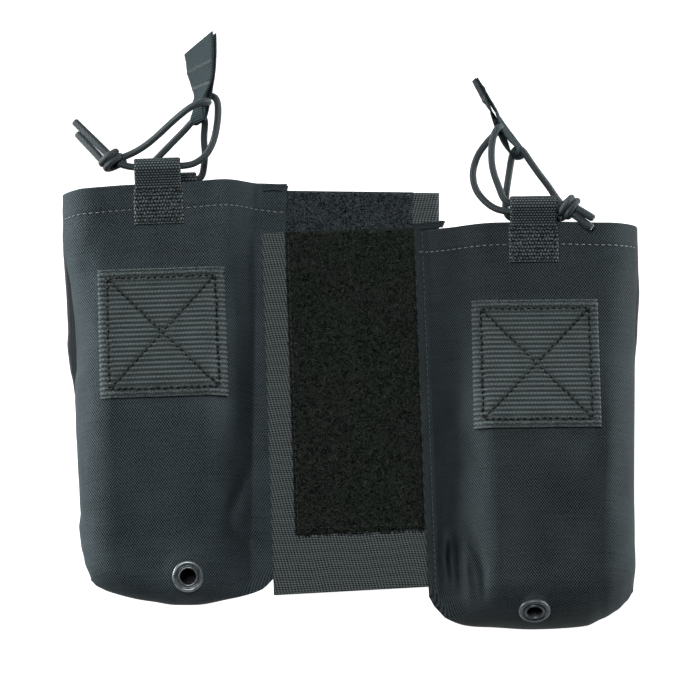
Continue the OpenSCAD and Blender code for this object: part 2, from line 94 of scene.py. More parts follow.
def splinePoint(a, b, c, d, t):  # Catmull-Rom, from b at 0 to c at 1
    return 0.5 * (
        2 * b + (c - a) * t + (2 * a - 5 * b + 4 * c - d) * t * t + (3 * b - a - 3 * c + d) * t ** 3
    )


def smoothLine(points, step, passes=2):  # a spline through the points, in even steps, then eased
    pts = [Vector(p) for p in points]
    ends = [2 * pts[0] - pts[1]] + pts + [2 * pts[-1] - pts[-2]]
    parts = 24
    dense = []
    for i in range(1, len(ends) - 2):
        dense += [splinePoint(*ends[i - 1 : i + 3], k / parts) for k in range(parts)]
    dense.append(pts[-1])
    line = evenSteps(dense, step)
    for _ in range(passes):
        inner = [b * 0.5 + (a + c) * 0.25 for a, b, c in zip(line, line[1:], line[2:])]
        line = [line[0], *inner, line[-1]]
    return line


def runAlong(points):  # the length so far at each point
    runs = [0.0]
    for a, b in zip(points, points[1:]):
        runs.append(runs[-1] + (b - a).length)
    return runs


def evenSteps(points, step):
    runs = runAlong(points)
    count = max(2, round(runs[-1] / step) + 1)
    line, j = [], 0
    for i in range(count):
        want = runs[-1] * i / (count - 1)
        while j < len(runs) - 2 and runs[j + 1] < want:
            j += 1
        span = runs[j + 1] - runs[j]
        line.append(points[j].lerp(points[j + 1], (want - runs[j]) / span if span else 0))
    return line


def lineLength(points):
    return sum((b - a).length for a, b in zip(points, points[1:]))


# Meshes from rows of points, in millimetres
def addMesh(name, points, faces, cornerUv, material):
    mesh = bpy.data.meshes.new(name)
    mesh.from_pydata((np.asarray(points, float) * mm).tolist(), [], faces)
    layer = mesh.uv_layers.new(name="lay")
    layer.data.foreach_set("uv", np.asarray(cornerUv, np.float32).ravel())
    mesh.polygons.foreach_set("use_smooth", [True] * len(mesh.polygons))
    mesh.materials.append(material)
    obj = bpy.data.objects.new(name, mesh)
    bpy.context.scene.collection.objects.link(obj)
    return obj


def loftParts(rows, uvRows, closed=False, caps=False, start=0):
    rows = np.asarray(rows, float)
    uvRows = np.asarray(uvRows, float)
    count, across = rows.shape[:2]
    r, i = np.meshgrid(np.arange(count - 1), np.arange(across if closed else across - 1), indexing="ij")
    r, i = r.ravel(), i.ravel()
    j = (i + 1) % across
    quads = np.stack([r * across + i, r * across + j, (r + 1) * across + j, (r + 1) * across + i], 1)
    uv = np.stack([uvRows[r, i], uvRows[r, i + 1], uvRows[r + 1, i + 1], uvRows[r + 1, i]], 1)
    faces = (quads + start).tolist()
    corners = uv.reshape(-1, 2).tolist()
    points = rows.reshape(-1, 3).tolist()
    if caps:
        for row, turn in ((0, -1), (count - 1, 1)):
            ring = list(range(across))[::turn]
            faces.append([start + row * across + k for k in ring])
            corners += [uvRows[row, k].tolist() for k in ring]
    return points, faces, corners


def ringOf(mid, side, up, r, sides):
    angles = [2 * math.pi * j / sides for j in range(sides)]
    return [mid + (side * math.cos(a) + up * math.sin(a)) * r for a in angles]


def flatLoft(name, bands, material):  # each band: points over the top, points under it, and their lay
    rows = [over + under[::-1] for over, under, _ in bands]
    lays = [lay + lay[::-1] + [lay[0]] for _, _, lay in bands]
    points, faces, corners = loftParts(rows, lays, closed=True)
    ring = len(rows[0])
    for base in (0, (len(rows) - 1) * ring):
        for i in range(ring // 2 - 1):
            faces.append([base + i, base + i + 1, base + ring - 2 - i, base + ring - 1 - i])
            corners += [corners[0]] * 4
    obj = addMesh(name, points, faces, corners, material)
    faceOut(obj)
    return obj


def pickNothing():
    for other in list(bpy.context.selected_objects):
        other.select_set(False)


def pick(obj):
    pickNothing()
    obj.select_set(True)
    bpy.context.view_layer.objects.active = obj


def faceOut(obj):
    pick(obj)
    bpy.ops.object.mode_set(mode="EDIT")
    bpy.ops.mesh.select_all(action="SELECT")
    bpy.ops.mesh.normals_make_consistent(inside=False)
    bpy.ops.object.mode_set(mode="OBJECT")


def applyModifier(obj, kind, **settings):
    pick(obj)
    modifier = obj.modifiers.new(kind.lower(), kind)
    for key, value in settings.items():
        setattr(modifier, key, value)
    bpy.ops.object.modifier_apply(modifier=modifier.name)


def place(obj, body, slot, *nodes):
    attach(obj, body)
    if nodes:
        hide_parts(*nodes)
    return obj


def joinParts(store, parts):  # adds the points, faces and corners of one shape to a list of them
    for whole, part in zip(store, parts):
        whole += part


# Shader sums: a wire is a socket that takes Python's operators
class Wire:
    def __init__(self, tree, socket=None):
        self.tree, self.socket = tree, socket

    def node(self, kind, sockets=(), out=0, **settings):
        made = self.tree.nodes.new("ShaderNode" + kind)
        for key, value in settings.items():
            setattr(made, key, value)
        for key, value in dict(sockets).items():
            if isinstance(value, Wire):
                self.tree.links.new(value.socket, made.inputs[key])
            else:
                made.inputs[key].default_value = value
        return Wire(self.tree, made.outputs[out])

    def sum(self, operation, *others):
        return self.node("Math", enumerate((self, *others)), operation=operation)

    def __add__(self, other):
        return self.sum("ADD", other)

    def __sub__(self, other):
        return self.sum("SUBTRACT", other)

    def __rsub__(self, other):
        return self.node("Math", {0: other, 1: self}, operation="SUBTRACT")

    def __mul__(self, other):
        return self.sum("MULTIPLY", other)

    def __truediv__(self, other):
        return self.sum("DIVIDE", other)

    def __pow__(self, other):
        return self.sum("POWER", other)

    __radd__, __rmul__ = __add__, __mul__

    def swing(self, period):  # 1 at the start of each period, -1 half way
        return (self * (2 * math.pi / period)).sum("COSINE")

    def wave(self, period):  # the same from 0 to 1
        return self.swing(period) * 0.5 + 0.5

    def between(self, low, high):
        return self.node("MapRange", {0: self, 1: low, 2: high}, interpolation_type="SMOOTHSTEP")

    def blend(self, low, high):  # a colour between two, by this value
        return self.node(
            "Mix", {0: self, 6: low, 7: high}, out=2, data_type="RGBA", clamp_factor=True
        )


def colour(r, g, b):
    return (r, g, b, 1.0)


def newMaterial(name, roughness, specular, metallic=0.0):
    material = bpy.data.materials.new(name)
    material.use_nodes = True
    tree = material.node_tree
    shader = tree.nodes["Principled BSDF"]
    shader.inputs["Roughness"].default_value = roughness
    shader.inputs["Specular IOR Level"].default_value = specular
    shader.inputs["Metallic"].default_value = metallic
    uv = Wire(tree).node("UVMap", uv_map="lay")
    u = uv.node("SeparateXYZ", {0: uv}, out=0)
    v = uv.node("SeparateXYZ", {0: uv}, out=1)
    return material, tree, shader, uv, u, v


def dress(tree, shader, tone=None, height=None, depth=0.1, strength=0.6, rough=None):
    if tone is not None:
        tree.links.new(tone.socket, shader.inputs["Base Color"])
    if rough is not None:
        tree.links.new(rough.socket, shader.inputs["Roughness"])
    if height is not None:
        bump = height.node(
            "Bump", {"Height": height, "Strength": strength, "Distance": depth * mm}
        )
        tree.links.new(bump.socket, shader.inputs["Normal"])


def grain(wire, scale, detail=2.0, rough=0.5):
    return wire.node(
        "TexNoise", {"Vector": wire, "Scale": scale, "Detail": detail, "Roughness": rough}
    )


# Coated nylon pack cloth: plain weave, soft clouding and a little lint
nylonLook = dict(warp=0.526, weft=0.69, rough=0.62)
# The left pouch's cloth is set lighter than the right's: painted light, one cloth in a lit and a shaded copy
nylonTones = dict(
    left=(colour(0.0017, 0.0029, 0.0036), colour(0.0430, 0.0560, 0.0622)),
    right=(colour(0.0015, 0.0025, 0.0030), colour(0.0340, 0.0435, 0.0468)),
)


def nylonCloth(name, look, dark, light):
    material, tree, shader, uv, u, v = newMaterial(name, look["rough"], 0.02)
    weave = u.swing(look["warp"] * 2) * v.swing(look["weft"] * 2) * 0.5 + 0.5
    cloud = grain(uv, 0.045, 3.0)
    fleck = grain(uv, 1.1, 2.0)
    lint = grain(uv, 0.62, 1.0, 0.3).between(0.80, 0.83)
    wefts = grain(uv.node("CombineXYZ", {0: u * 0.04, 1: v * 1.3}), 1.0, 1.0)
    warps = grain(uv.node("CombineXYZ", {0: u * 1.7, 1: v * 0.04}), 1.0, 1.0)
    shade = weave * 1.55 + wefts * 0.32 + warps * 0.14 + fleck * 0.85 + cloud * 0.6 - 1.25
    tone = shade.blend(dark, light)
    tone = (lint * 0.3).blend(tone, colour(0.12, 0.13, 0.13))
    dress(tree, shader, tone, weave + fleck * 0.4, 0.12, 0.6, cloud * 0.14 + (look["rough"] - 0.07))
    return material


nylon = {side: nylonCloth(side + "_nylon", nylonLook, *tones) for side, tones in nylonTones.items()}

# Inner side of the nylon, set near black: painted shade for the dark inside of the pouch, seen through the
# eyelet hole
insideShadeLook = dict(dark=colour(0.0040, 0.0055, 0.0066), light=colour(0.0150, 0.0195, 0.0220))


def insideShadeCloth(name, look):
    material, tree, shader, uv, u, v = newMaterial(name, 0.5, 0.1)
    weave = u.wave(1.05) * v.wave(1.38)
    shade = weave * 0.5 + grain(uv, 0.4, 2.0) * 0.5
    dress(tree, shader, shade.blend(look["dark"], look["light"]), weave, 0.06, 0.4)
    return material


insidePaintedShade = insideShadeCloth("inside_painted_shade", insideShadeLook)

# Ribbed webbing: ribs run along u, one to each pitch along v, with a slanted yarn grain
patchLook = dict(
    dark=colour(0.0012, 0.0019, 0.0022), light=colour(0.0665, 0.0815, 0.0830),
    twill=0.36, pitch=1.92, yarn=1.40, gain=1.05,
    sewn=[(0.0, 4.6), (47.6, 52.6)],  # runs along v where stitching upsets the ribs
)
keeperLook = dict(
    dark=colour(0.0006, 0.0011, 0.0014), light=colour(0.0720, 0.0900, 0.0945),
    twill=0.66, pitch=1.50, yarn=1.20, gain=2.7,
    sewn=[(0.0, 15.0)],
)


def ribbedWebbing(name, look):
    material, tree, shader, uv, u, v = newMaterial(name, 0.65, 0.05)
    pitch, yarn = look["pitch"], look["yarn"]
    mess = None
    for low, high in look["sewn"]:
        part = v.between(low - 0.3, low + 0.3) * v.between(high + 0.5, high - 0.5)
        mess = part if mess is None else mess + part
    v = v + mess * (grain(uv, 0.8, 2.0) - 0.5) * (pitch * 1.3)
    row = (v / pitch + 0.5).sum("FLOOR")
    inside = (v / pitch - row).sum("ABSOLUTE")
    slant = (u + inside * yarn + row * (yarn * 0.5)).wave(yarn)
    crest = v.wave(pitch) * 0.75 + v.wave(pitch / 2) * 0.25
    dots = (u + row * (yarn * 0.5)).wave(yarn / 2)
    fuzz = grain(uv, 1.5, 3.0)
    patchy = grain(uv, 0.12, 2.0)
    body = (crest ** 0.7) * (slant * look["twill"] + 0.96 - look["twill"]) + (1 - crest) * dots * 0.2
    knot = grain(uv, 1.25, 1.0) * mess
    shade = (body - 0.47) * look["gain"] + fuzz * (0.75 + mess * 0.5) + patchy * 0.3 - knot * 0.5 - 0.06
    tone = shade.blend(look["dark"], look["light"])
    dress(tree, shader, tone, body + fuzz * 0.4, 0.2, 0.8)
    return material


patchWebbing = ribbedWebbing("patch_webbing", patchLook)
keeperWebbing = ribbedWebbing("keeper_webbing", keeperLook)

# Knitted elastic: rows along u, wales along v
elasticLook = dict(
    dark=colour(0.0030, 0.0038, 0.0039), light=colour(0.0700, 0.0820, 0.0840), row=0.90, wale=1.22,
)


def knitElastic(name, look):
    material, tree, shader, uv, u, v = newMaterial(name, 0.7, 0.04)
    v = v + (grain(uv, 0.06, 1.0) - 0.5) * 2.4
    row = v.wave(look["row"])
    count = (v / look["row"] + 0.5).sum("FLOOR")
    wale = (u + count * (look["wale"] * 0.18)).wave(look["wale"])
    band = v.wave(look["row"] * 4)
    fuzz = grain(uv, 1.2, 3.0)
    hole = ((1 - row) * (1 - wale)).between(0.12, 0.7)
    body = 1 - hole
    shade = body * 1.15 + row * wale * 0.45 + fuzz * 0.5 + band * 0.12 - 0.82
    dress(tree, shader, shade.blend(look["dark"], look["light"]), body + fuzz * 0.4, 0.2, 0.7)
    return material


elastic = knitElastic("knit_elastic", elasticLook)

# Brushed loop pile and its fibres
frontPile = dict(
    dark=colour(0.0006, 0.0009, 0.0007), light=colour(0.0225, 0.0290, 0.0240),
    warm=colour(0.0240, 0.0268, 0.0242), bright=colour(0.0560, 0.0640, 0.0570),
)
rearPile = dict(
    dark=colour(0.0020, 0.0030, 0.0034), light=colour(0.0440, 0.0560, 0.0610),
    warm=colour(0.0420, 0.0500, 0.0540), bright=colour(0.1000, 0.1150, 0.1200),
)


def loopPile(name, look):
    material, tree, shader, uv, u, v = newMaterial(name, 0.9, 0.01)
    tuft = grain(uv, 0.35, 3.0)
    curl = (grain(uv, 1.15, 2.0, 0.6) - 0.5).sum("ABSOLUTE")
    fine = grain(uv, 2.0, 2.0, 0.7)
    shade = fine * 3.4 + tuft * 0.5 - curl * 4.2 - 1.17
    hue = grain(uv, 0.035, 2.0).between(0.42, 0.58)
    tone = shade.blend(look["dark"], hue.blend(look["light"], look["warm"]))
    dress(tree, shader, tone, fine + tuft * 0.5, 0.5, 0.8)
    return material


def pileFibre(name, look):  # each fibre has one spot of the noise, so few of them are bright
    material, tree, shader, uv, u, v = newMaterial(name, 0.8, 0.03)
    luck = grain(uv, 0.9, 0.0)
    tone = luck.between(0.35, 0.72).blend(look["dark"], look["light"])
    tone = luck.between(0.66, 0.80).blend(tone, look["bright"])
    dress(tree, shader, tone)
    return material


pileLooks = dict(
    left=(loopPile("rear_pile", rearPile), pileFibre("rear_fibre", rearPile)),
    right=(loopPile("front_pile", frontPile), pileFibre("front_fibre", frontPile)),
)

# Hook tape: dark nylon ground with stiff hooks
hookLook = dict(dark=colour(0.006, 0.007, 0.007), light=colour(0.03, 0.034, 0.035))


def hookGround(name, look):
    material, tree, shader, uv, u, v = newMaterial(name, 0.5, 0.35)
    weave = u.wave(1.1) * v.wave(0.55)
    fuzz = grain(uv, 1.3, 2.0)
    shade = weave * 0.6 + fuzz * 0.4
    dress(tree, shader, shade.blend(look["dark"], look["light"]), weave, 0.1, 0.5)
    return material


hookTape = hookGround("hook_tape", hookLook)

# Braided shock cord: u runs round the cord, v along it
cordLook = dict(
    dark=colour(0.0050, 0.0075, 0.0085), light=colour(0.0400, 0.0500, 0.0540), carriers=8, pick=2.2,
)
cordCut = dict(across=2.6, sides=16, step=0.7, fuzz=0.08)
cordRound = cordCut["across"] * math.pi


def braidedCord(name, look):
    material, tree, shader, uv, u, v = newMaterial(name, 0.55, 0.08)
    turn = u * (look["carriers"] / cordRound)
    left = (turn + v / look["pick"]).wave(1.0)
    right = (turn - v / look["pick"]).wave(1.0)
    braid = left.sum("MAXIMUM", right)
    streak = u.wave(cordRound / 6)
    fuzz = grain(uv, 1.2, 2.0)
    shade = braid * 0.45 + streak * 0.35 + fuzz * 0.3 - 0.1
    dress(tree, shader, shade.blend(look["dark"], look["light"]), braid + streak * 0.5, 0.12, 0.7)
    return material


cordBraid = braidedCord("braided_cord", cordLook)

# Pale rubber strands in the cut ends of the cord
coreLook = dict(dark=colour(0.10, 0.11, 0.11), light=colour(0.42, 0.44, 0.43))


def rubberCore(name, look):
    material, tree, shader, uv, u, v = newMaterial(name, 0.7, 0.2)
    strand = u.wave(0.45) * v.wave(0.45)
    shade = strand * 0.6 + grain(uv, 2.0) * 0.4
    dress(tree, shader, shade.blend(look["dark"], look["light"]), strand, 0.1, 0.6)
    return material


cordCore = rubberCore("cord_core", coreLook)

# Narrow grosgrain tape of the pull tabs: fine ribs across the tape
tapeLook = dict(dark=colour(0.0036, 0.0053, 0.0059), light=colour(0.0335, 0.0455, 0.0495), rib=0.80)


def ribTape(name, look):
    material, tree, shader, uv, u, v = newMaterial(name, 0.75, 0.01)
    rib = v.wave(look["rib"])
    yarn = (u + v * 0.2).wave(0.5)
    fuzz = grain(uv, 1.0, 3.0)
    shade = rib * 1.2 + yarn * 0.4 + fuzz * 0.8 - 0.75
    dress(tree, shader, shade.blend(look["dark"], look["light"]), rib + fuzz * 0.3, 0.12, 0.7)
    return material


tabTape = ribTape("tab_tape", tapeLook)


# Sewing thread, twisted
threadWide = 0.42
threadTones = dict(
    dark=(colour(0.0012, 0.0016, 0.0018), colour(0.006, 0.008, 0.0085)),  # patches and keepers
    grey=(colour(0.085, 0.098, 0.10), colour(0.19, 0.21, 0.215)),  # hems
    pale=(colour(0.018, 0.022, 0.023), colour(0.085, 0.098, 0.10)),  # seam of the right pouch
    seam=(colour(0.008, 0.010, 0.011), colour(0.040, 0.048, 0.050)),  # seam of the left pouch, wings
    tack=(colour(0.002, 0.003, 0.0035), colour(0.050, 0.064, 0.068)),  # pull tabs
)


def sewingThread(name, dark, light):
    material, tree, shader, uv, u, v = newMaterial(name, 0.5, 0.12)
    twist = (v + u * 0.8).wave(threadWide)
    shade = twist * 0.7 + grain(uv, 1.5) * 0.3
    dress(tree, shader, shade.blend(dark, light), twist, 0.08, 0.6)
    return material


thread = {use: sewingThread(use + "_thread", *tones) for use, tones in threadTones.items()}

# Darkened nickel on brass: v runs from the outer edge of the rim into the bore. The left eyelet is set much
# lighter than the right: painted light, one metal in a lit and a shaded copy
brassLook = dict(
    left=dict(dark=colour(0.030, 0.036, 0.039), wornAndLit=colour(0.140, 0.160, 0.168),
              groove=colour(0.016, 0.020, 0.022), rough=0.36, shine=0.5),
    right=dict(dark=colour(0.018, 0.021, 0.023), wornAndLit=colour(0.066, 0.079, 0.087),
               groove=colour(0.012, 0.015, 0.017), rough=0.48, shine=0.35),
)


def greyBrass(name, look):
    material, tree, shader, uv, u, v = newMaterial(name, look["rough"], look["shine"], 0.6)
    scuff = grain(uv, 0.55, 4.0, 0.6)
    fine = grain(uv, 2.6, 2.0)
    # Darker in the groove between the two rolls and down the bore: painted shade
    groove = 1 - ((v - 3.35).sum("ABSOLUTE") / 0.55).between(0.0, 1.0)
    barrel = v.between(5.6, 6.4)
    # scuffs show the lighter worn colour, which is set lighter still on the left eyelet as painted light
    tone = scuff.between(0.25, 0.65).blend(look["dark"], look["wornAndLit"])
    tone = groove.sum("MAXIMUM", barrel).blend(tone, look["groove"])
    rough = look["rough"] - scuff * 0.12 + fine * 0.08
    dress(tree, shader, tone, scuff + fine * 0.4, 0.04, 0.3, rough)
    return material


brass = {side: greyBrass(side + "_grey_brass", look) for side, look in brassLook.items()}
print("materials made:", len(bpy.data.materials))

# Camera: straight over the pair, leaning a little from the foot end
view = dict(elevation=82.0, distance=3.0, span=0.280, middle=(-0.0003, 0.0186, 0.0))
back = Vector((0, -math.cos(math.radians(view["elevation"])), math.sin(math.radians(view["elevation"]))))
bpy.ops.object.camera_add(location=Vector(view["middle"]) + back * view["distance"])
camera = bpy.context.object
camera.rotation_euler = (-back).to_track_quat("-Z", "Y").to_euler()
camera.data.sensor_width = 36.0
camera.data.lens = 36.0 * view["distance"] / view["span"]
camera.data.clip_end = 20.0
bpy.context.scene.camera = camera

# Floor and soft light
studio = dict(
    floor=0.5, glow=1.0, sky=0.03,
    left=((-1.15, 0.45, 0.022), (1.3, 0.04), 55.0), right=((1.2, 0.4, 0.05), (1.3, 0.08), 40.0),
    top=((-0.25, 0.45, 1.75), (1.0, 0.8), 44.0),
)
bpy.ops.mesh.primitive_plane_add(size=6.0, location=(0, 0, 0))
floor = bpy.context.object
floor.name = "studio_floor"
floorPaint = bpy.data.materials.new("studio_white")
floorPaint.use_nodes = True
floorShader = floorPaint.node_tree.nodes["Principled BSDF"]
floorShader.inputs["Base Color"].default_value = colour(*[studio["floor"]] * 3)
floorShader.inputs["Roughness"].default_value = 0.9
floorShader.inputs["Emission Color"].default_value = colour(1, 1, 1)
floorShader.inputs["Emission Strength"].default_value = studio["glow"]
floorShader.inputs["Specular IOR Level"].default_value = 0.1
floor.data.materials.append(floorPaint)

sky = bpy.data.worlds.new("studio_sky")
sky.use_nodes = True
sky.node_tree.nodes["Background"].inputs["Color"].default_value = colour(1, 1, 1)
sky.node_tree.nodes["Background"].inputs["Strength"].default_value = studio["sky"]
bpy.context.scene.world = sky
bpy.context.scene.view_settings.view_transform = "Standard"


def softbox(name, where, size, power):
    bpy.ops.object.light_add(type="AREA", location=where)
    lamp = bpy.context.object
    lamp.name = name
    lamp.data.shape = "RECTANGLE"
    lamp.data.size, lamp.data.size_y = size
    lamp.data.energy = power
    lamp.rotation_euler = (-Vector(where)).to_track_quat("-Z", "Y").to_euler()


for side in ("left", "right", "top"):
    softbox(side + "_softbox", *studio[side])
print("camera, floor and lights set")

# Pouches: sizes in millimetres, as in the part's source
panelThick = 1.0
wallThick = 1.2
mouthWide = 89.0
mouthHigh = 14.0
levelRun = 26.0
sideRun = 14.0
leftPouch = dict(
    name="left", body="left_pouch", at=(-69.9957, 83.5683), turn=2.0, mirror=1, lift=0.0,
    reach=169.0, footWide=73.0, bodyHigh=22.0, bodyAt=92.0, lowHigh=12.0, roundRun=10.0,
    sag=9.0, curve=2.4, shift=7.0, rearShift=1.0, patchDrop=34.2, eyeletUp=11.5, eyeletTilt=11.0,
    margin=12.0, slope=20.0, seed=3.7, seamThread=thread["seam"], seat=(6.4, 5.5),
    mouth=[  # rise of the mouth's edge, by the share of the width
        (0, -1.2), (0.1, -0.4), (0.3, 0.2), (0.55, 0.6), (0.75, 1.6), (0.86, 1.1), (1, 0.4),
    ],
    foot=[  # rise of the foot's edge
        (0, 3.4), (0.03, 2.4), (0.08, 2.2), (0.14, 2.3), (0.3, 2.3), (0.42, 1.5), (0.55, 1.3), (0.7, 2.0),
        (0.9, 1.4), (0.96, 3.0), (1, 7.0),
    ],
    outer=[  # how far the front stands out at its free side, by the length
        (0, 1.2), (9, 1.8), (20, 2.6), (28, 2.0), (41, 0.8), (57, 0.4), (66, 0.6), (74, 1.0), (82, 2.2),
        (90, 2.9), (105, 3.5), (121, 3.9), (137, 4.3), (145, 5.4), (153, 5.2), (160, 4.4), (169, 2.4),
    ],
    back=[  # the same for the back panel
        (0, 0.6), (9, 1.2), (25, 2.8), (41, 2.9), (57, 3.3), (66, 4.2), (74, 3.9), (82, 3.0), (90, 2.6),
        (105, 3.0), (137, 3.4), (145, 4.2), (153, 4.2), (160, 3.6), (169, 1.8),
    ],
    hem=[(0, 10.9), (0.3, 10.2), (0.8, 10.4), (1, 12.0)],  # drop of the hem's stitching
    folds=[  # valley lines in the pair's frame: points, depth, width
        ([(-39.1, -27.0), (-44.3, -40.0), (-47.6, -48.3), (-47.8, -56.0)], 2.0, 2.6),
        ([(-48.2, -53.0), (-42.0, -58.5), (-34.0, -62.0)], 1.6, 2.4),
        ([(-41.7, -43.0), (-37.5, -52.0), (-34.0, -58.0)], -0.9, 3.2),
        ([(-102.0, 66.0), (-104.5, 50.0), (-102.0, 34.0)], 0.5, 3.0),
        ([(-108.5, 62.0), (-106.0, 40.0), (-106.5, 18.0)], 0.5, 3.0),
        ([(-92.0, -60.0), (-84.0, -66.0), (-76.0, -78.0)], 0.35, 4.0),
    ],
)
rightPouch = dict(
    name="right", body="right_pouch", at=(69.9729, 67.7427), turn=0.8, mirror=-1, lift=2.3,
    reach=162.0, footWide=82.0, bodyHigh=26.0, bodyAt=100.0, lowHigh=24.0, roundRun=18.0,
    sag=9.0, curve=4.0, shift=2.5, rearShift=5.0, patchDrop=31.5, eyeletUp=6.5, eyeletTilt=54.0,
    margin=4.0, slope=25.0, seed=11.2, seamThread=thread["pale"], seat=(4.4, 1.9),
    mouth=[(0, -0.5), (0.15, -0.3), (0.4, 0.2), (0.62, 0.1), (0.86, -0.9), (1, -0.6)],
    foot=[
        (0, 6.0), (0.03, 4.4), (0.08, 3.2), (0.15, 2.3), (0.24, 0.8), (0.5, 0.4), (0.7, 1.2), (0.85, 0.6),
        (0.92, 0.8), (0.97, 2.6), (1, 5.0),
    ],
    outer=[(0, 0.2), (20, 0.3), (60, -0.6), (110, -0.6), (135, -0.2), (150, 0.2), (162, -0.6)],
    back=[
        (0, 0.4), (16, 0.8), (28, 1.3), (44, 0.6), (60, -0.4), (110, -0.5), (135, -0.2), (150, -0.2),
        (162, -1.0),
    ],
    hem=[(0, 9.4), (0.3, 9.0), (0.7, 9.0), (1, 9.4)],
    folds=[
        ([(37.0, -56.0), (36.9, -66.0), (38.0, -78.0)], -5.2, 1.9),
        ([(40.8, -58.5), (40.6, -67.0), (42.2, -79.0)], 5.0, 2.4),
        ([(44.8, -64.0), (45.2, -73.0), (47.0, -84.0)], -3.6, 2.1),
        ([(45.0, -55.5), (49.8, -65.0), (52.0, -72.5), (52.8, -82.0)], 3.0, 1.5),
        ([(43.4, -18.6), (48.9, -26.0), (51.7, -34.5)], 0.9, 2.2),
        ([(41.0, -10.0), (42.5, -24.0), (42.0, -38.0)], 0.7, 3.0),
        ([(96.5, 8.0), (98.0, -12.0), (97.0, -34.0)], 0.6, 3.5),
        ([(102.0, -10.0), (102.4, -28.0), (101.0, -50.0)], -0.7, 3.0),
    ],
)
pouches = (leftPouch, rightPouch)
fade = dict(side=0.4, mouth=55.0, foot=0.28)  # how far the edge tables reach into the cloth


def stand(p, x, y, z):  # from the pouch's own frame to the pair's
    a = math.asin(p["lift"] / mouthWide)
    h = mouthWide / 2
    x, z = (x + h) * math.cos(a) - z * math.sin(a) - h, (x + h) * math.sin(a) + z * math.cos(a)
    x *= p["mirror"]
    t = math.radians(p["turn"])
    return Vector((
        p["at"][0] + x * math.cos(t) - y * math.sin(t),
        p["at"][1] + x * math.sin(t) + y * math.cos(t), z,
    ))


def fullWide(p, s):
    return mouthWide + (p["footWide"] - mouthWide) * s / p["reach"]


def crownHigh(p, s):
    if s <= p["bodyAt"]:
        return lerp(mouthHigh, p["bodyHigh"], ease((s - levelRun) / (p["bodyAt"] - levelRun)))
    run = p["reach"] - p["roundRun"] - p["bodyAt"]
    return lerp(p["bodyHigh"], p["lowHigh"], ease((s - p["bodyAt"]) / run))


def seamRise(p, fromSeam):
    return math.sin(math.pi / 2 * min(1.0, max(0.0, (fromSeam - p["margin"]) / p["slope"])))


def skinHigh(p, u, s):
    w = fullWide(p, s)
    return (
        arcRise((p["reach"] - s) / p["roundRun"]) * arcRise(u * w / sideRun)
        * (wallThick + (crownHigh(p, s) - wallThick) * seamRise(p, (1 - u) * w))
    )


def flatPoint(p, u, v, edge="outer"):  # a point of the front in the pouch's own frame, without its folds
    s = v * p["reach"]
    w = fullWide(p, s)
    x = -w / 2 + u * w - tableAt(p[edge], s) * ease(1 - u / fade["side"])
    y = -v * (p["reach"] - p["sag"] * abs(2 * u - 1) ** p["curve"])
    y += tableAt(p["mouth"], u) * ease(1 - s / fade["mouth"])
    y += tableAt(p["foot"], u) * ease(1 - (1 - v) / fade["foot"])
    return x, y, panelThick + skinHigh(p, u, s)


def frontZ(p, x, s):
    w = fullWide(p, s)
    return panelThick + skinHigh(p, (x + w / 2) / w, s)


# Patch and hem sizes that the cloth needs too: it lies calm under a patch and dips at its stitching
patchCut = dict(
    wide=50.0, long=52.5, thick=1.2, gap=0.3, inset=3.5, pitch=patchLook["pitch"], rib=0.5,
    across=86, perRib=6, press=0.42, pressWide=0.75, thread=1.05, stitch=2.5, stitchShare=0.8,
)
hem = dict(step=0.35, edge=2.9, edgeStep=0.6, groove=0.3, edgeGroove=0.4, grooveWide=0.6)
ripple = dict(low=0.9, mid=0.35, patchClear=8.0, eyeletClear=(5.0, 10.0), mouthClear=(12.0, 40.0))


def clothCalm(p, x, s):  # ripples fade under the patch, round the eyelet and at the mouth
    clearX = abs(x + p["shift"]) - patchCut["wide"] / 2
    clearY = abs(s - p["patchDrop"] - patchCut["long"] / 2) - patchCut["long"] / 2
    calm = 0.1 + 0.9 * ease(max(clearX, clearY) / ripple["patchClear"])
    near, far = ripple["eyeletClear"]
    calm *= ease((math.hypot(x, s - p["reach"] + p["eyeletUp"]) - near) / far)
    near, far = ripple["mouthClear"]
    return calm * (0.25 + 0.75 * ease((s - near) / far))


def foldDepth(p, u, v, point):  # how far the cloth dips below its plain form
    s = v * p["reach"]
    w = fullWide(p, s)
    fromSeam, fromSide = (1 - u) * w, u * w
    fromHem, fromEdge = s - tableAt(p["hem"], u), fromSeam - hem["edge"]
    dip = hem["step"] * ease(fromHem / 0.9) * ease(fromSide / 2)
    dip += hem["groove"] * gauss(fromHem, hem["grooveWide"])
    dip += hem["edgeStep"] * ease(fromEdge / 0.7) - hem["edgeStep"]
    dip += hem["edgeGroove"] * gauss(fromEdge, hem["grooveWide"])
    for line, depth, width in p["folds"]:
        d, share = lineDistance(point.x, point.y, line)
        dip += depth * gauss(d, width) * (0.35 + 0.65 * math.sin(math.pi * share))
    low = noise.noise(Vector((point.x * 0.045, point.y * 0.03, p["seed"])))
    mid = noise.noise(Vector((point.x * 0.11, point.y * 0.075, p["seed"] + 5)))
    inside = ease(fromSide / 6) * ease((p["reach"] - s) / 5) * ease((fromSeam - 6) / 14)
    return dip + (low * ripple["low"] + mid * ripple["mid"]) * inside * clothCalm(p, u * w - w / 2, s)


def eyeletSeat(p, x, y, z):  # the cloth lies flat under the rim
    s = p["reach"] - p["eyeletUp"]
    high, tilt = frontZ(p, 0, s), math.radians(p["eyeletTilt"])
    d = math.sqrt(x * x + (y + s) ** 2 + (z - high) ** 2)
    flat = high + math.tan(tilt) * (y + s) + 0.5 / math.cos(tilt)
    return lerp(flat, z, ease((d - p["seat"][0]) / p["seat"][1]))


def clothPoint(p, u, v):
    x, y, z = flatPoint(p, u, v)
    z = eyeletSeat(p, x, y, z)
    point = stand(p, x, y, z)
    point.z -= foldDepth(p, u, v, point)
    least = panelThick + 0.2  # folds stay clear of the back panel
    if point.z < least:
        point.z = max(point.z, min(z, least))
    return point


clothCut = dict(thick=0.9, across=100, along=190, arc=5, hole=4.0)


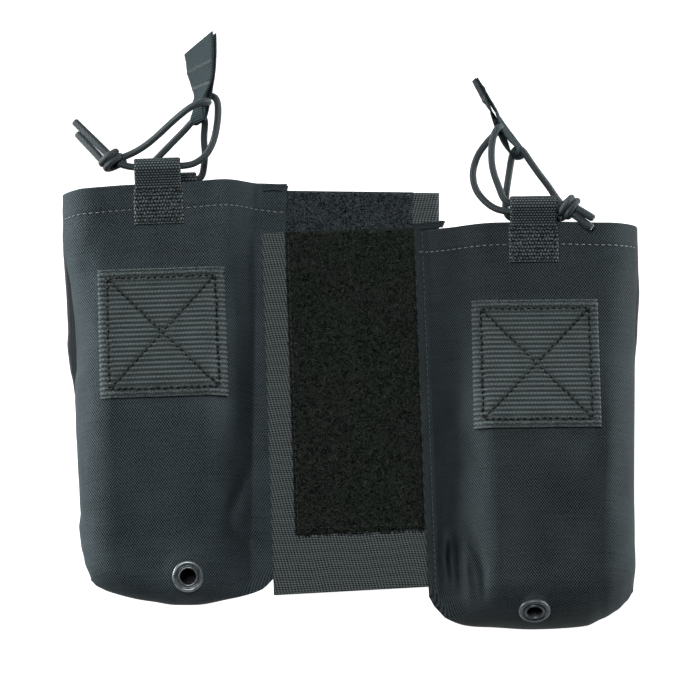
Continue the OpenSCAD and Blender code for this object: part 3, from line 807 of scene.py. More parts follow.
def pouchSteps(p):  # closer together where the side and the foot turn down
    across, along, arc = clothCut["across"], clothCut["along"], clothCut["arc"]
    first = sideRun / mouthWide
    us = [first * (1 - math.cos(math.radians(a))) for a in range(0, 90, arc)]
    us += [lerp(first, 1, k / across) for k in range(across + 1)]
    run = p["roundRun"] / p["reach"]
    vs = [lerp(0, 1 - run, k / along) for k in range(along)]
    vs += [1 - run + run * math.sin(math.radians(a)) for a in range(0, 91, arc)]
    return us, vs


def pouchFront(p):
    us, vs = pouchSteps(p)
    rows = np.array([[clothPoint(p, u, v) for u in us] for v in vs])
    plain = np.array([[stand(p, *flatPoint(p, u, v)) for u in us] for v in vs])  # measures the weave
    spread = np.linalg.norm(np.diff(plain, axis=1), axis=2)
    along = np.linalg.norm(np.diff(plain, axis=0), axis=2)
    across = np.concatenate([np.zeros((len(vs), 1)), np.cumsum(spread, 1)], 1)
    down = np.concatenate([np.zeros((1, len(us))), np.cumsum(along, 0)], 0)
    middle = len(us) // 2
    across -= across[:, middle : middle + 1]
    uv = np.stack([across * p["mirror"], -down], 2)
    obj = addMesh(p["name"] + "_pouch_front", *loftParts(rows, uv), nylon[p["name"]])
    if p["mirror"] > 0:
        obj.data.flip_normals()
    # the inner faces take the painted-shade material, which stands in for the dark inside of the pouch
    obj.data.materials.append(insidePaintedShade)
    s = p["reach"] - p["eyeletUp"]
    hole = stand(p, 0, -s, frontZ(p, 0, s)) * mm
    work = bmesh.new()
    work.from_mesh(obj.data)
    punched = [f for f in work.faces if (f.calc_center_median() - hole).length < clothCut["hole"] * mm]
    bmesh.ops.delete(work, geom=punched, context="FACES")  # hole of the eyelet, its edge under the rim
    work.to_mesh(obj.data)
    work.free()
    applyModifier(
        obj, "SOLIDIFY", thickness=clothCut["thick"] * mm, offset=-1.0, use_even_offset=False,
        material_offset=1,
    )
    place(obj, p["body"], "nylon", p["name"] + "_front_shell")


for pouch in pouches:
    pouchFront(pouch)
print("pouch fronts lofted")

# Back panels, with the painted-shade material on the side that faces the pouch's inside
backCut = dict(across=40, along=60)


def backPanel(p):
    us = [k / backCut["across"] for k in range(backCut["across"] + 1)]
    vs = [k / backCut["along"] for k in range(backCut["along"] + 1)]
    rows, uv = [], []
    for v in vs:
        row, lay = [], []
        for u in us:
            x, y, _ = flatPoint(p, u, v, "back")
            row.append(stand(p, x, y, 0.0))
            lay.append((x * p["mirror"], y))
        rows.append(row)
        uv.append(lay)
    obj = addMesh(p["name"] + "_back_cloth", *loftParts(rows, uv), nylon[p["name"]])
    if p["mirror"] > 0:
        obj.data.flip_normals()
    applyModifier(obj, "SOLIDIFY", thickness=panelThick * mm, offset=1.0)
    faceOut(obj)
    # the face inside the pouch takes the painted-shade material
    obj.data.materials.append(insidePaintedShade)
    for face in obj.data.polygons:
        face.material_index = int(face.normal.z > 0.5 and face.center.z > panelThick / 2 * mm)
    place(obj, p["body"], "nylon", p["name"] + "_back_panel")


for pouch in pouches:
    backPanel(pouch)
print("back panels cut")


# Stitches: one short bowed capsule, copied along a line
def stitchRow(name, spots, diameter, material, body, slot):
    parts = [], [], []
    sides, rings = 6, 5
    for where, along, up, length in spots:
        along = along.normalized()
        side = along.cross(up).normalized()
        up = side.cross(along).normalized()
        rows, lay = [], []
        for k in range(rings):
            t = k / (rings - 1) * 2 - 1
            r = diameter / 2 * math.sqrt(max(0.12, 1 - t * t * 0.85))
            mid = where + along * (t * length / 2) + up * (diameter * (0.42 - 0.55 * t * t))
            rows.append(ringOf(mid, side, up, r, sides))
            lay.append([(j * diameter * 0.5, t * length / 2) for j in range(sides + 1)])
        joinParts(parts, loftParts(rows, lay, True, True, len(parts[0])))
    obj = addMesh(name, *parts, material)
    faceOut(obj)
    return place(obj, body, slot)


def spotsAlong(line, ups, pitch, share):  # where each stitch sits, its way, its up and its length
    runs = runAlong(line)
    count = max(1, int(runs[-1] / pitch))
    spots, j = [], 0
    for i in range(count):
        want = (i + 0.5) * runs[-1] / count
        while runs[j + 1] < want:
            j += 1
        t = (want - runs[j]) / (runs[j + 1] - runs[j])
        where = line[j].lerp(line[j + 1], t)
        spots.append((where, line[j + 1] - line[j], ups[j].lerp(ups[j + 1], t), pitch * share))
    return spots


def clothLine(p, pairs):  # a line on the cloth through (u, v) pairs, with its normals
    line, ups = [], []
    for u, v in pairs:
        here = clothPoint(p, u, v)
        du = clothPoint(p, min(1, u + 0.004), v) - clothPoint(p, max(0, u - 0.004), v)
        dv = clothPoint(p, u, min(1, v + 0.003)) - clothPoint(p, u, max(0, v - 0.003))
        up = du.cross(dv)
        if up.z < 0:
            up = -up
        line.append(here)
        ups.append(up.normalized())
    return line, ups


# Hem and seam rows: pitch, share of it that is thread, and where the row starts and ends
sewing = dict(hem=(2.55, 0.66), hemRun=(0.012, 0.99), seam=(2.35, 0.7), seamRun=(0.004, 0.965))
for pouch in pouches:
    reach = pouch["reach"]
    us = [lerp(*sewing["hemRun"], k / 120) for k in range(121)]
    vs = [lerp(*sewing["seamRun"], k / 160) for k in range(161)]
    hemLine = clothLine(pouch, [(u, tableAt(pouch["hem"], u) / reach) for u in us])
    seamLine = clothLine(pouch, [(1 - hem["edge"] / fullWide(pouch, v * reach), v) for v in vs])
    for row, line, sewn in (("hem", hemLine, thread["grey"]), ("seam", seamLine, pouch["seamThread"])):
        spots = spotsAlong(*line, *sewing[row])
        stitchRow(pouch["name"] + "_" + row + "_stitch", spots, threadWide, sewn, pouch["body"], "nylon")
print("hems and seams sewn")


# Webbing patches, sewn on with a box and a cross
def patchSpot(p, a, b):  # a and b run from -0.5 to 0.5 across and down the patch
    x = patchCut["wide"] * a - p["shift"]
    s = p["patchDrop"] + patchCut["long"] * (b + 0.5)
    return stand(p, x, -s, frontZ(p, x, s) + patchCut["gap"])


def patchUp(p, a, b):
    du = patchSpot(p, a + 0.01, b) - patchSpot(p, a - 0.01, b)
    dv = patchSpot(p, a, b + 0.01) - patchSpot(p, a, b - 0.01)
    up = du.cross(dv).normalized()
    return up if up.z > 0 else -up


def boxAndCross(x, y):  # the four sides and two diagonals of a box with its middle at 0, 0
    return [
        [(-x, -y), (x, -y)], [(x, -y), (x, y)], [(x, y), (-x, y)], [(-x, y), (-x, -y)],
        [(-x, -y), (x, y)], [(x, -y), (-x, y)],
    ]


def ribCrest(turns):  # 1 on a rib, 0 between two
    return abs(math.cos(math.pi * turns)) ** 0.7


def webbingPatch(p):
    wide, long, pitch = patchCut["wide"], patchCut["long"], patchCut["pitch"]
    ribs = round(long / pitch)
    na, nb = patchCut["across"], ribs * patchCut["perRib"]
    sewn = boxAndCross(wide / 2 - patchCut["inset"], long / 2 - patchCut["inset"])
    bands = []
    for j in range(nb + 1):
        b = j / nb - 0.5
        over, under, lay = [], [], []
        phase = (b + 0.5) * ribs
        crest = ribCrest(phase)
        for i in range(na + 1):
            a = i / na - 0.5
            scallop = 1 + 0.005 * (crest - 0.5) * (abs(a) > 0.49)
            spot, up = patchSpot(p, a * scallop, b), patchUp(p, a, b)
            near = min(lineDistance(a * wide, b * long, line)[0] for line in sewn)
            edge = min(0.5 - abs(a), 0.5 - abs(b)) * wide
            high = patchCut["thick"] - patchCut["rib"] * (1 - crest)
            high -= patchCut["press"] * gauss(near, patchCut["pressWide"])
            high *= 0.72 + 0.28 * ease(edge / 0.9)
            high += 0.08 * noise.noise(Vector((a * 90, b * 90, p["seed"])))
            over.append(spot + up * high)
            under.append(spot + up * 0.05)
            lay.append((a * wide, phase * pitch))
        bands.append((over, under, lay))
    obj = flatLoft(p["name"] + "_patch", bands, patchWebbing)
    place(obj, p["body"], "webbing", p["name"] + "_webbing_patch")
    patchStitches(p, sewn)


def patchStitches(p, sewn):
    rand = random.Random(int(p["seed"] * 10))
    high = patchCut["thick"] - patchCut["press"]
    spots = []
    for (x0, y0), (x1, y1) in sewn:
        line, ups = [], []
        for k in range(41):
            a = lerp(x0, x1, k / 40) / patchCut["wide"]
            b = lerp(y0, y1, k / 40) / patchCut["long"]
            ups.append(patchUp(p, a, b))
            line.append(patchSpot(p, a, b) + ups[-1] * high)
        for where, along, up, length in spotsAlong(line, ups, patchCut["stitch"], patchCut["stitchShare"]):
            where = where + Vector((rand.uniform(-0.2, 0.2), rand.uniform(-0.2, 0.2), 0))
            spots.append((where, along + along.cross(up) * rand.uniform(-0.25, 0.25), up, length))
    stitchRow(p["name"] + "_patch_stitch", spots, patchCut["thread"], thread["dark"], p["body"], "webbing")


for pouch in pouches:
    webbingPatch(pouch)
print("patches sewn on")


# Straps: a ribbed ribbon along a path, with its width direction at each point
def ribbon(name, stations, look, material):
    bands, run = [], 0.0
    count, across = len(stations), look["across"]
    for k, (mid, wide, span) in enumerate(stations):
        ahead = stations[min(count - 1, k + 1)][0] - stations[max(0, k - 1)][0]
        wide = (wide - ahead * (wide.dot(ahead) / ahead.length_squared)).normalized()
        up = wide.cross(ahead).normalized()
        if k:  # ribs beyond the sewn length lie closer together
            run += (mid - stations[k - 1][0]).length * (1.0 if run < look["sewn"] else 1.4)
        crest = ribCrest(run / look["pitch"])
        half = look["thick"] / 2 - look["rib"] / 2 * (1 - crest)
        over, under, uv = [], [], []
        for i in range(across + 1):
            t = i / across * 2 - 1
            edge = math.sqrt(max(0.0, 1 - max(0.0, abs(t) - 0.93) ** 2 / 0.07 ** 2 * 0.75))
            sway = look["wobble"] * noise.noise(Vector((run * 0.35, t * 2.5, len(name))))
            reach = t * span / 2 * (1 + look["scallop"] * (crest - 0.5))
            spot = mid + wide * reach + up * (look["cup"] * (1 - t * t) + sway)
            over.append(spot + up * half * edge)
            under.append(spot - up * half * edge)
            uv.append((t * span / 2, run))
        bands.append((over, under, uv))
    return flatLoft(name, bands, material)


# Rolled corners of the back hem, beside the seams
hemRoll = dict(
    wide=2.7, thick=1.5, cup=0.35, across=14, rib=0.0, pitch=1.7, scallop=0.0, wobble=0.25, sewn=1e3,
    step=0.3,
    left=[
        (-35.4, 83.6, 2.4), (-33.6, 84.0, 2.7), (-31.6, 84.1, 2.9), (-29.0, 83.9, 2.7), (-26.8, 83.7, 2.5),
        (-25.4, 83.4, 2.2),
    ],
    right=[
        (25.0, 67.6, 4.6), (27.6, 68.0, 4.7), (31.0, 68.2, 4.8), (34.4, 68.5, 5.0), (36.4, 68.9, 5.1),
        (37.2, 68.6, 4.9),
    ],
)
for pouch in pouches:
    line = smoothLine(hemRoll[pouch["name"]], hemRoll["step"])
    stations = [(q, Vector((0, 1, 0.1)), hemRoll["wide"]) for q in line]
    roll = ribbon(pouch["name"] + "_hem_corner", stations, hemRoll, nylon[pouch["name"]])
    place(roll, pouch["body"], "nylon")
print("hem corners rolled")

# Keepers: webbing folded round the cords and sewn to itself through the wall
strapThick = 1.1
strap = dict(
    wide=19.0, thick=strapThick, cup=0.0, across=24, rib=0.36, pitch=keeperLook["pitch"], scallop=0.014,
    wobble=0.06, sewn=15.0, widen=0.6, box=(8.2, 6.2), boxAt=-8.4, stitch=2.4, stitchShare=0.75,
    front=dict(
        leg=16.0, out=10.7, eye=3.3, gap=wallThick, rise=0.0, z=panelThick + mouthHigh - wallThick / 2,
    ),
    rear=dict(leg=14.0, out=6.4, eye=1.9, gap=0.0, rise=1.0, z=panelThick + strapThick),
)


def eyePath(cut):  # middle of a strap folded round a cord, in its own plane
    half = (cut["gap"] + strap["thick"]) / 2
    mid = cut["eye"] + strap["thick"] / 2
    centre = Vector((cut["out"] - cut["eye"] - strap["thick"], cut["rise"], 0))
    upper = [Vector((x, half, 0)) for x in (-cut["leg"], -cut["leg"] / 2, -0.6)]
    lower = [Vector((q.x, -half, 0)) for q in reversed(upper)]
    turns = [math.radians(a) for a in range(100, -101, -10)]
    return upper + [centre + Vector((math.cos(a), math.sin(a), 0)) * mid for a in turns] + lower


def keeper(p, edge, shift):
    cut = strap[edge]
    name = p["name"] + "_" + edge + "_keeper"
    line = smoothLine(eyePath(cut), strap["pitch"] / 10, 3)
    sideways = (stand(p, 1, 0, 0) - stand(p, 0, 0, 0)).normalized()
    stations = []
    for q in line:
        spread = lerp(strap["widen"], -strap["widen"], ease((q.x + 2.5) / 2.5))
        stations.append((stand(p, -shift, q.x, cut["z"] + q.y), sideways, strap["wide"] + spread))
    place(ribbon(name + "_strap", stations, strap, keeperWebbing), p["body"], "webbing", name)


def keeperStitches(p):
    up = stand(p, 0, 0, 1) - stand(p, 0, 0, 0)
    top = strap["front"]["z"] + wallThick / 2 + strap["thick"] - 0.12
    x, y = -p["shift"], strap["boxAt"]
    spots = []
    for (x0, y0), (x1, y1) in boxAndCross(*strap["box"]):
        ends = [stand(p, x + x0, y + y0, top), stand(p, x + x1, y + y1, top)]
        spots += spotsAlong(ends, [up, up], strap["stitch"], strap["stitchShare"])
    stitchRow(p["name"] + "_front_keeper_stitch", spots, threadWide, thread["dark"], p["body"], "webbing")


for pouch in pouches:
    keeper(pouch, "front", pouch["shift"])
    keeperStitches(pouch)
    keeper(pouch, "rear", pouch["rearShift"])
print("keepers folded")


# Eyelets: a ring drawn out step by step into a rolled rim and a barrel
eyeletCut = dict(
    sides=72, seatUp=0.8,
    steps=[  # radius, height
        (6.25, -0.35), (6.30, 0.10), (6.22, 0.45), (5.98, 0.76), (5.60, 0.94), (5.20, 0.90), (4.86, 0.68),
        (4.62, 0.40), (4.42, 0.28), (4.22, 0.38), (4.02, 0.74), (3.80, 1.04), (3.55, 1.14), (3.30, 1.00),
        (3.14, 0.62), (3.06, 0.10), (3.05, -1.2), (3.05, -3.40), (3.20, -3.52), (3.85, -3.50), (3.85, -3.10),
        (3.45, -3.05), (3.45, -1.2), (3.45, -0.35), (4.60, -0.35),
    ],
    washerSides=48,
    washer=[
        (5.00, -3.15), (5.00, -2.92), (4.85, -2.82), (3.60, -2.82), (3.52, -2.90), (3.52, -3.25),
        (3.60, -3.32), (4.85, -3.32), (5.00, -3.15),
    ],
)


def lathe(name, steps, sides, matrix, material):
    pickNothing()
    r0, z0 = steps[0]
    bpy.ops.mesh.primitive_circle_add(vertices=sides, radius=r0 * mm, location=(0, 0, 0), calc_uvs=False)
    obj = bpy.context.object
    obj.name = name
    bpy.ops.object.mode_set(mode="EDIT")
    bpy.ops.mesh.select_all(action="SELECT")
    bpy.ops.transform.translate(value=(0, 0, z0 * mm))
    for (ra, za), (rb, zb) in zip(steps, steps[1:]):
        bpy.ops.mesh.extrude_region_move(TRANSFORM_OT_translate={"value": (0, 0, (zb - za) * mm)})
        bpy.ops.transform.resize(value=(rb / ra, rb / ra, 1), center_override=(0, 0, zb * mm))
    bpy.ops.object.mode_set(mode="OBJECT")
    mesh = obj.data
    for layer in list(mesh.uv_layers):
        mesh.uv_layers.remove(layer)
    runs = [0.0]
    for (ra, za), (rb, zb) in zip(steps, steps[1:]):
        runs.append(runs[-1] + math.hypot(rb - ra, zb - za))
    layer = mesh.uv_layers.new(name="lay")
    for face in mesh.polygons:
        angles = [math.atan2(mesh.vertices[v].co.y, mesh.vertices[v].co.x) for v in face.vertices]
        wraps = max(angles) - min(angles) > math.pi
        for loop, v, angle in zip(face.loop_indices, face.vertices, angles):
            if wraps and angle < 0:
                angle += 2 * math.pi
            co = mesh.vertices[v].co / mm
            near = min(
                range(len(steps)),
                key=lambda k: (steps[k][0] - math.hypot(co.x, co.y)) ** 2 + (steps[k][1] - co.z) ** 2,
            )
            layer.data[loop].uv = (angle * 4.5, runs[near])
    mesh.transform(matrix)
    mesh.polygons.foreach_set("use_smooth", [True] * len(mesh.polygons))
    mesh.materials.clear()
    mesh.materials.append(material)
    faceOut(obj)
    return obj


def eyeletMatrix(p):
    s = p["reach"] - p["eyeletUp"]
    tilt = math.radians(p["eyeletTilt"])
    spot = (0, -s, frontZ(p, 0, s))

    def at(x, y, z):
        z += eyeletCut["seatUp"]
        y, z = y * math.cos(tilt) - z * math.sin(tilt), y * math.sin(tilt) + z * math.cos(tilt)
        return stand(p, spot[0] + x, spot[1] + y, spot[2] + z)

    origin = at(0, 0, 0)
    columns = [at(1, 0, 0) - origin, at(0, 1, 0) - origin, at(0, 0, 1) - origin]
    return Matrix([(*axis, 0) for axis in columns] + [(*(origin * mm), 1)]).transposed()


for pouch in pouches:
    side, matrix = pouch["name"], eyeletMatrix(pouch)
    rim = lathe(side + "_eyelet_rim", eyeletCut["steps"], eyeletCut["sides"], matrix, brass[side])
    place(rim, pouch["body"], "eyelet_metal", side + "_eyelet")
    ring = lathe(side + "_eyelet_back", eyeletCut["washer"], eyeletCut["washerSides"], matrix, brass[side])
    place(ring, pouch["body"], "eyelet_metal", side + "_eyelet_washer")
print("eyelets set")

# Wings: knitted elastic with a loop field on top, and hook tape under the right one
wing = dict(
    long=145.5, base=1.0, loop=1.2, hook=0.9, bareFoot=23.5, tuck=0.8, rise=0.8, across=44, perRow=4,
    pileShare=0.7, thread=0.4, sunk=0.15, stitch=2.6, stitchShare=0.7, sewnIn=(1.2, 3.2), sewnFrom=(2.0, 1.5),
)
fibreCut = dict(count=10500, span=(0.6, 1.8), high=(0.15, 0.5), thick=(0.09, 0.17), lean=0.35)
hookCut = dict(
    high=0.28, pitch=1.55, stray=0.12, half=0.07,
    bend=[(0.0, 0.0), (0.03, -0.14), (0.12, -0.24), (0.24, -0.22), (0.29, -0.14)],  # along, height
)
leftWing = dict(
    name="left", body="left_pouch", top=(-25.56, 82.12), low=(-27.37, -63.53), side=1, z=0.0, seed=21,
    wide=61.1, bareSide=10.6, trim=(0.0, 0.0),
)
rightWing = dict(
    name="right", body="right_wing", top=(25.195, 66.62), low=(30.37, -78.82), side=-1, z=3.4, seed=43,
    wide=61.0, bareSide=9.4, trim=(1.7, 0.5),
)


def wingAxes(w):
    top, low = Vector((*w["top"], 0)), Vector((*w["low"], 0))
    down = (low - top).normalized()
    return top, down, Vector((-down.y, down.x, 0)) * w["side"]


def wingPoint(w, near, start, z):
    top, down, away = wingAxes(w)
    return top + away * near + down * start + Vector((0, 0, z))


def wingSheet(w, name, wide, long, z, thick, material, row, bumps, tuck=0.0):
    na, nb = wing["across"], int(long / row) * wing["perRow"]
    bands = []
    for j in range(nb + 1):
        over, under, uv = [], [], []
        for i in range(na + 1):
            near = lerp(-tuck, wide, i / na)
            foot = long - lerp(w["trim"][0], w["trim"][1], near / w["wide"])
            start = lerp(-wing["rise"], foot, j / nb)
            crest = 0.5 + 0.5 * math.cos(2 * math.pi * start / row)
            edge = min(near + tuck, wide - near, start + wing["rise"], foot - start)
            half = thick / 2 * (0.55 + 0.45 * ease(edge / 0.8)) - bumps * (1 - crest) * 0.5
            mid = wingPoint(w, near, start, z + thick / 2)
            mid.z += 0.06 * noise.noise(Vector((near * 0.2, start * 0.2, w["seed"])))
            over.append(mid + Vector((0, 0, half)))
            under.append(mid - Vector((0, 0, half)))
            uv.append((near, start))
        bands.append((over, under, uv))
    return flatLoft(name, bands, material)


def prismFaces(base, count):  # quads round a run of three-cornered sections
    return [
        [base + k * 3 + a, base + k * 3 + b, base + k * 3 + 3 + b, base + k * 3 + 3 + a]
        for k in range(count) for a, b in ((0, 1), (1, 2), (2, 0))
    ]


def pileFibres(w, name, wide, long, z, material):
    rand = random.Random(w["seed"])
    points, faces, corners = [], [], []
    for _ in range(fibreCut["count"]):
        near, start = rand.uniform(0.2, wide - 0.1), rand.uniform(0.1, long - 0.1)
        angle = rand.uniform(0, 2 * math.pi)
        span, high, thick = [rand.uniform(*fibreCut[size]) for size in ("span", "high", "thick")]
        along = Vector((math.cos(angle), math.sin(angle), 0))
        side = Vector((-along.y, along.x, 0))
        lean = rand.uniform(-fibreCut["lean"], fibreCut["lean"])
        root = wingPoint(w, near, start, z)
        base = len(points)
        tint = (rand.uniform(0, 60), rand.uniform(0, 60))
        for k in range(4):
            t = k / 3 * 2 - 1
            bow = 1 - t * t
            mid = root + along * (t * span / 2) + Vector((0, 0, high * bow - 0.1)) + side * (lean * bow)
            points += [mid + side * thick, mid - side * thick, mid + Vector((0, 0, thick * 1.5))]
        faces += prismFaces(base, 3)
        corners += [tint] * 36
    obj = addMesh(name, points, faces, corners, material)
    faceOut(obj)
    return obj


def hooks(w, name, wide, long, z, material):
    points, faces, corners = [], [], []
    rand = random.Random(w["seed"] + 1)
    pitch, stray, half = hookCut["pitch"], hookCut["stray"], hookCut["half"]
    for a in range(int(wide / pitch)):
        for b in range(int(long / pitch)):
            near = (a + 0.5) * pitch + rand.uniform(-stray, stray)
            start = (b + 0.5) * pitch + rand.uniform(-stray, stray)
            root = wingPoint(w, near, start, z)
            turn = 1 if (a + b) % 2 else -1
            base = len(points)
            for x, d in hookCut["bend"]:
                points.append([root.x - half, root.y + turn * x, root.z + d])
                points.append([root.x + half, root.y + turn * x, root.z + d])
                points.append([root.x, root.y + turn * (x + half), root.z + d - 0.02])
            faces += prismFaces(base, 4)
            corners += [(near, start)] * 48
    obj = addMesh(name, points, faces, corners, material)
    faceOut(obj)
    return obj


def makeWing(w):
    name, body = w["name"] + "_wing", w["body"]
    wide, long = w["wide"] - w["bareSide"], wing["long"] - wing["bareFoot"]
    field = (wide, long)
    ground, fibre = pileLooks[w["name"]]
    baseTop = w["z"] + wing["base"]
    pileHigh = wing["loop"] * wing["pileShare"]
    base = wingSheet(
        w, name + "_elastic", w["wide"], wing["long"], w["z"], wing["base"], elastic, elasticLook["row"] * 2,
        0.16, wing["tuck"],
    )
    loop = wingSheet(w, name + "_pile", *field, baseTop, pileHigh, ground, 2.0, 0.05)
    fuzz = pileFibres(w, name + "_fibres", *field, baseTop + pileHigh, fibre)
    place(base, body, "elastic", name + "_base")
    place(loop, body, "loop_pile", name + "_loop")
    place(fuzz, body, "loop_pile")
    up = Vector((0, 0, 1))
    level = baseTop + wing["loop"] - wing["sunk"]
    corner = (wide - wing["sewnIn"][0], long - wing["sewnIn"][1])  # the foot row and the far row meet here
    spots = []
    for start in ((wing["sewnFrom"][0], corner[1]), (corner[0], wing["sewnFrom"][1])):
        ends = [wingPoint(w, *start, level), wingPoint(w, *corner, level)]
        spots += spotsAlong(ends, [up, up], wing["stitch"], wing["stitchShare"])
    sewn = stitchRow(name + "_stitch", spots, wing["thread"], thread["seam"], body, "loop_pile")
    others, rests = [loop, fuzz, sewn], []
    if w is rightWing:
        thick = wing["hook"] - hookCut["high"]
        tape = wingSheet(w, name + "_hook_tape", *field, w["z"] - thick, thick, hookTape, 1.1, 0.05)
        barbs = hooks(w, name + "_hooks", *field, w["z"] - thick, hookTape)
        place(tape, body, "hook_tape", name + "_hook")
        place(barbs, body, "hook_tape")
        others += [tape, barbs]
        rests = ["left_wing_pile"]


makeWing(leftWing)
makeWing(rightWing)
print("wings laid")

# Shock cords, on the routes of the part's source
routes = {
    "left_front": [
        (-93, 92, 13.5), (-89.5, 90.8, 14.2), (-86, 90.3, 14.4), (-77, 90.6, 14.4), (-67, 90.9, 14.4),
        (-62.5, 91.8, 14.6), (-58, 95, 15), (-55.2, 100, 14.6), (-53.8, 105.5, 14), (-53.1, 111.5, 13),
        (-53.2, 116.4, 12.2), (-54.4, 119.4, 10.6), (-56.9, 120.2, 8.4), (-60, 119.2, 7.6),
        (-62.2, 117.8, 9.4), (-61.9, 116.9, 11.8), (-60.4, 116.3, 13.6), (-58.5, 115.9, 16),
        (-57, 115.7, 18.8), (-56.8, 115.6, 21.6), (-57.8, 115.4, 23.6), (-59.6, 114.9, 24.4),
        (-62.6, 113.7, 24.2), (-66.5, 111.2, 23), (-71.5, 107.4, 20.2), (-79, 101, 17), (-85, 97, 15),
        (-90, 94.8, 14), (-93.5, 93.5, 13.5),
    ],
    "left_rear": [
        (-72, 86.9, 3.1), (-61.5, 87.2, 3.1), (-59.6, 88.6, 3.4), (-58.8, 92.5, 5), (-58.4, 97.5, 7.2),
        (-58.8, 102, 9), (-58.6, 105.4, 10.8), (-58.3, 108.2, 12.8), (-58.6, 110.2, 15), (-60, 110.8, 15.8),
        (-61.8, 110.1, 15), (-63.8, 108.5, 13.2), (-67, 105.2, 11.6), (-71, 101.4, 10), (-75, 97.6, 8),
        (-79, 93.8, 6), (-82.5, 90.2, 3.8), (-82.8, 87.6, 3.2), (-80.5, 86.6, 3.1), (-72.6, 86.9, 3.1),
    ],
    "right_front": [
        (85, 73.8, 17), (81.5, 72.8, 15.7), (72, 72.4, 15.5), (62.5, 72.2, 15.7), (56, 74.4, 15),
        (50.5, 80.6, 13), (48.8, 88, 10.5), (50.6, 95.6, 8), (54, 101, 6.4), (57, 104.4, 5.8),
        (58.8, 106, 6), (59.7, 106.7, 7.6), (59.8, 106.7, 11.5), (59.7, 106.7, 15.4), (58.8, 105.9, 17),
        (57.2, 103.2, 17.2), (56.2, 97.5, 17), (56.5, 90, 16.8), (58.8, 82.8, 16), (62.5, 75.8, 15.7),
        (72, 75.7, 15.5), (81.5, 75.4, 15.7), (85, 74.8, 17),
    ],
    "right_rear": [
        (76, 71.2, 4.1), (65.5, 71.1, 4.3), (63, 72, 4.3), (62, 75, 4.6), (62.2, 81, 5),
        (63.2, 88, 5.4), (64, 93, 6.2), (64.6, 96.2, 7.6), (65.8, 98.4, 9.2), (67.6, 98.8, 9.8),
        (69.4, 97.2, 9.8), (71, 94.6, 9.8), (75, 88.8, 9.6), (79, 83.8, 8), (82.4, 79, 6.2),
        (85.4, 75.6, 4.8), (86.4, 73, 4), (84.5, 71.3, 3.9), (77, 71.2, 4.1),
    ],
}


def tubeParts(line, radius, sides, start=0):
    rows, lay, run = [], [], 0.0
    side = None
    for k, spot in enumerate(line):
        ahead = (line[min(len(line) - 1, k + 1)] - line[max(0, k - 1)]).normalized()
        if side is None:
            side = ahead.orthogonal().normalized()
        side = (side - ahead * side.dot(ahead)).normalized()
        up = ahead.cross(side)
        if k:
            run += (spot - line[k - 1]).length
        r = radius[k] if isinstance(radius, list) else radius
        rows.append(ringOf(spot, side, up, r, sides))
        lay.append([(j / sides * cordRound, run) for j in range(sides + 1)])
    return loftParts(rows, lay, True, True, start)


def makeCord(name, start, end):  # a braided tube along the cord's route
    line = smoothLine(routes[name], cordCut["step"], 6)
    tube = tubeParts(line, cordCut["across"] / 2 + cordCut["fuzz"], cordCut["sides"])
    obj = addMesh(name + "_cord_run", *tube, cordBraid)
    faceOut(obj)
    start, end = [c * mm for c in start], [c * mm for c in end]
    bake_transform(obj)
    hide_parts(name + "_cord")
    lineLength(line) * mm
    [tuple(q * mm) for q in line]
    print(name, "cord", round(lineLength(line)), "mm")


# Knots: two strands wound side by side, with two cut tails
knotCut = dict(
    strand=1.42, wound=3.6, turns=1.3, first=0.6, tuck=0.55, tuckFrom=0.8, apart=1.3, along=1.7, lean=0.9,
    points=60, sides=12, tail=1.08,
)
coreCut = dict(strands=26, spread=1.1, radii=[0.2, 0.2, 0.12], sides=6, sunk=0.3)
knots = dict(
    left=dict(
        at=(-95.5, 93.2, 13.2), way=(-0.7, 0.71, 0.0), body="left_pouch",
        tails=[((-95.4, 94.0, 14.4), (-110.5, 110.0, 6.5)), ((-97.8, 91.6, 13.2), (-109.4, 105.2, 5.6))],
    ),
    right=dict(
        at=(86.8, 74.0, 17.2), way=(0.87, -0.49, 0.0), body="right_pouch",
        tails=[((87.6, 74.4, 18.4), (96.6, 69.0, 18.4)), ((86.6, 72.4, 17.6), (95.8, 65.4, 18.0))],
    ),
)


def makeKnot(name, k):
    way = Vector(k["way"]).normalized()
    up = Vector((0, 0, 1))
    side = up.cross(way).normalized()
    radius, sides = knotCut["strand"], knotCut["sides"]
    parts, tipEnds = ([], [], []), []
    for strand in (-1, 1):
        line = []
        for i in range(knotCut["points"] + 1):
            t = i / knotCut["points"] * 2 - 1
            a = t * math.pi * knotCut["turns"] + knotCut["first"]
            tucked = max(0.0, abs(t) - knotCut["tuckFrom"]) / (1 - knotCut["tuckFrom"])
            wound = knotCut["wound"] * (1 - knotCut["tuck"] * tucked)
            along = t * knotCut["along"] + strand * knotCut["apart"] + math.cos(a) * knotCut["lean"]
            line.append(Vector(k["at"]) + way * along + (side * math.cos(a) + up * math.sin(a)) * wound)
        joinParts(parts, tubeParts(line, radius, sides, len(parts[0])))
    for root, tip in k["tails"]:
        root, tip = Vector(root), Vector(tip)
        line = smoothLine([root, root.lerp(tip, 0.35) + up * 0.5, root.lerp(tip, 0.7) + up * 0.3, tip], 0.8)
        joinParts(parts, tubeParts(line, radius * knotCut["tail"], sides, len(parts[0])))
        tipEnds.append((tip, (line[-1] - line[-3]).normalized()))
    obj = addMesh(name + "_knot", *parts, cordBraid)
    faceOut(obj)
    place(obj, k["body"], "cord", name + "_cord_knot")
    return obj, cutEnds(name, k["body"], tipEnds)


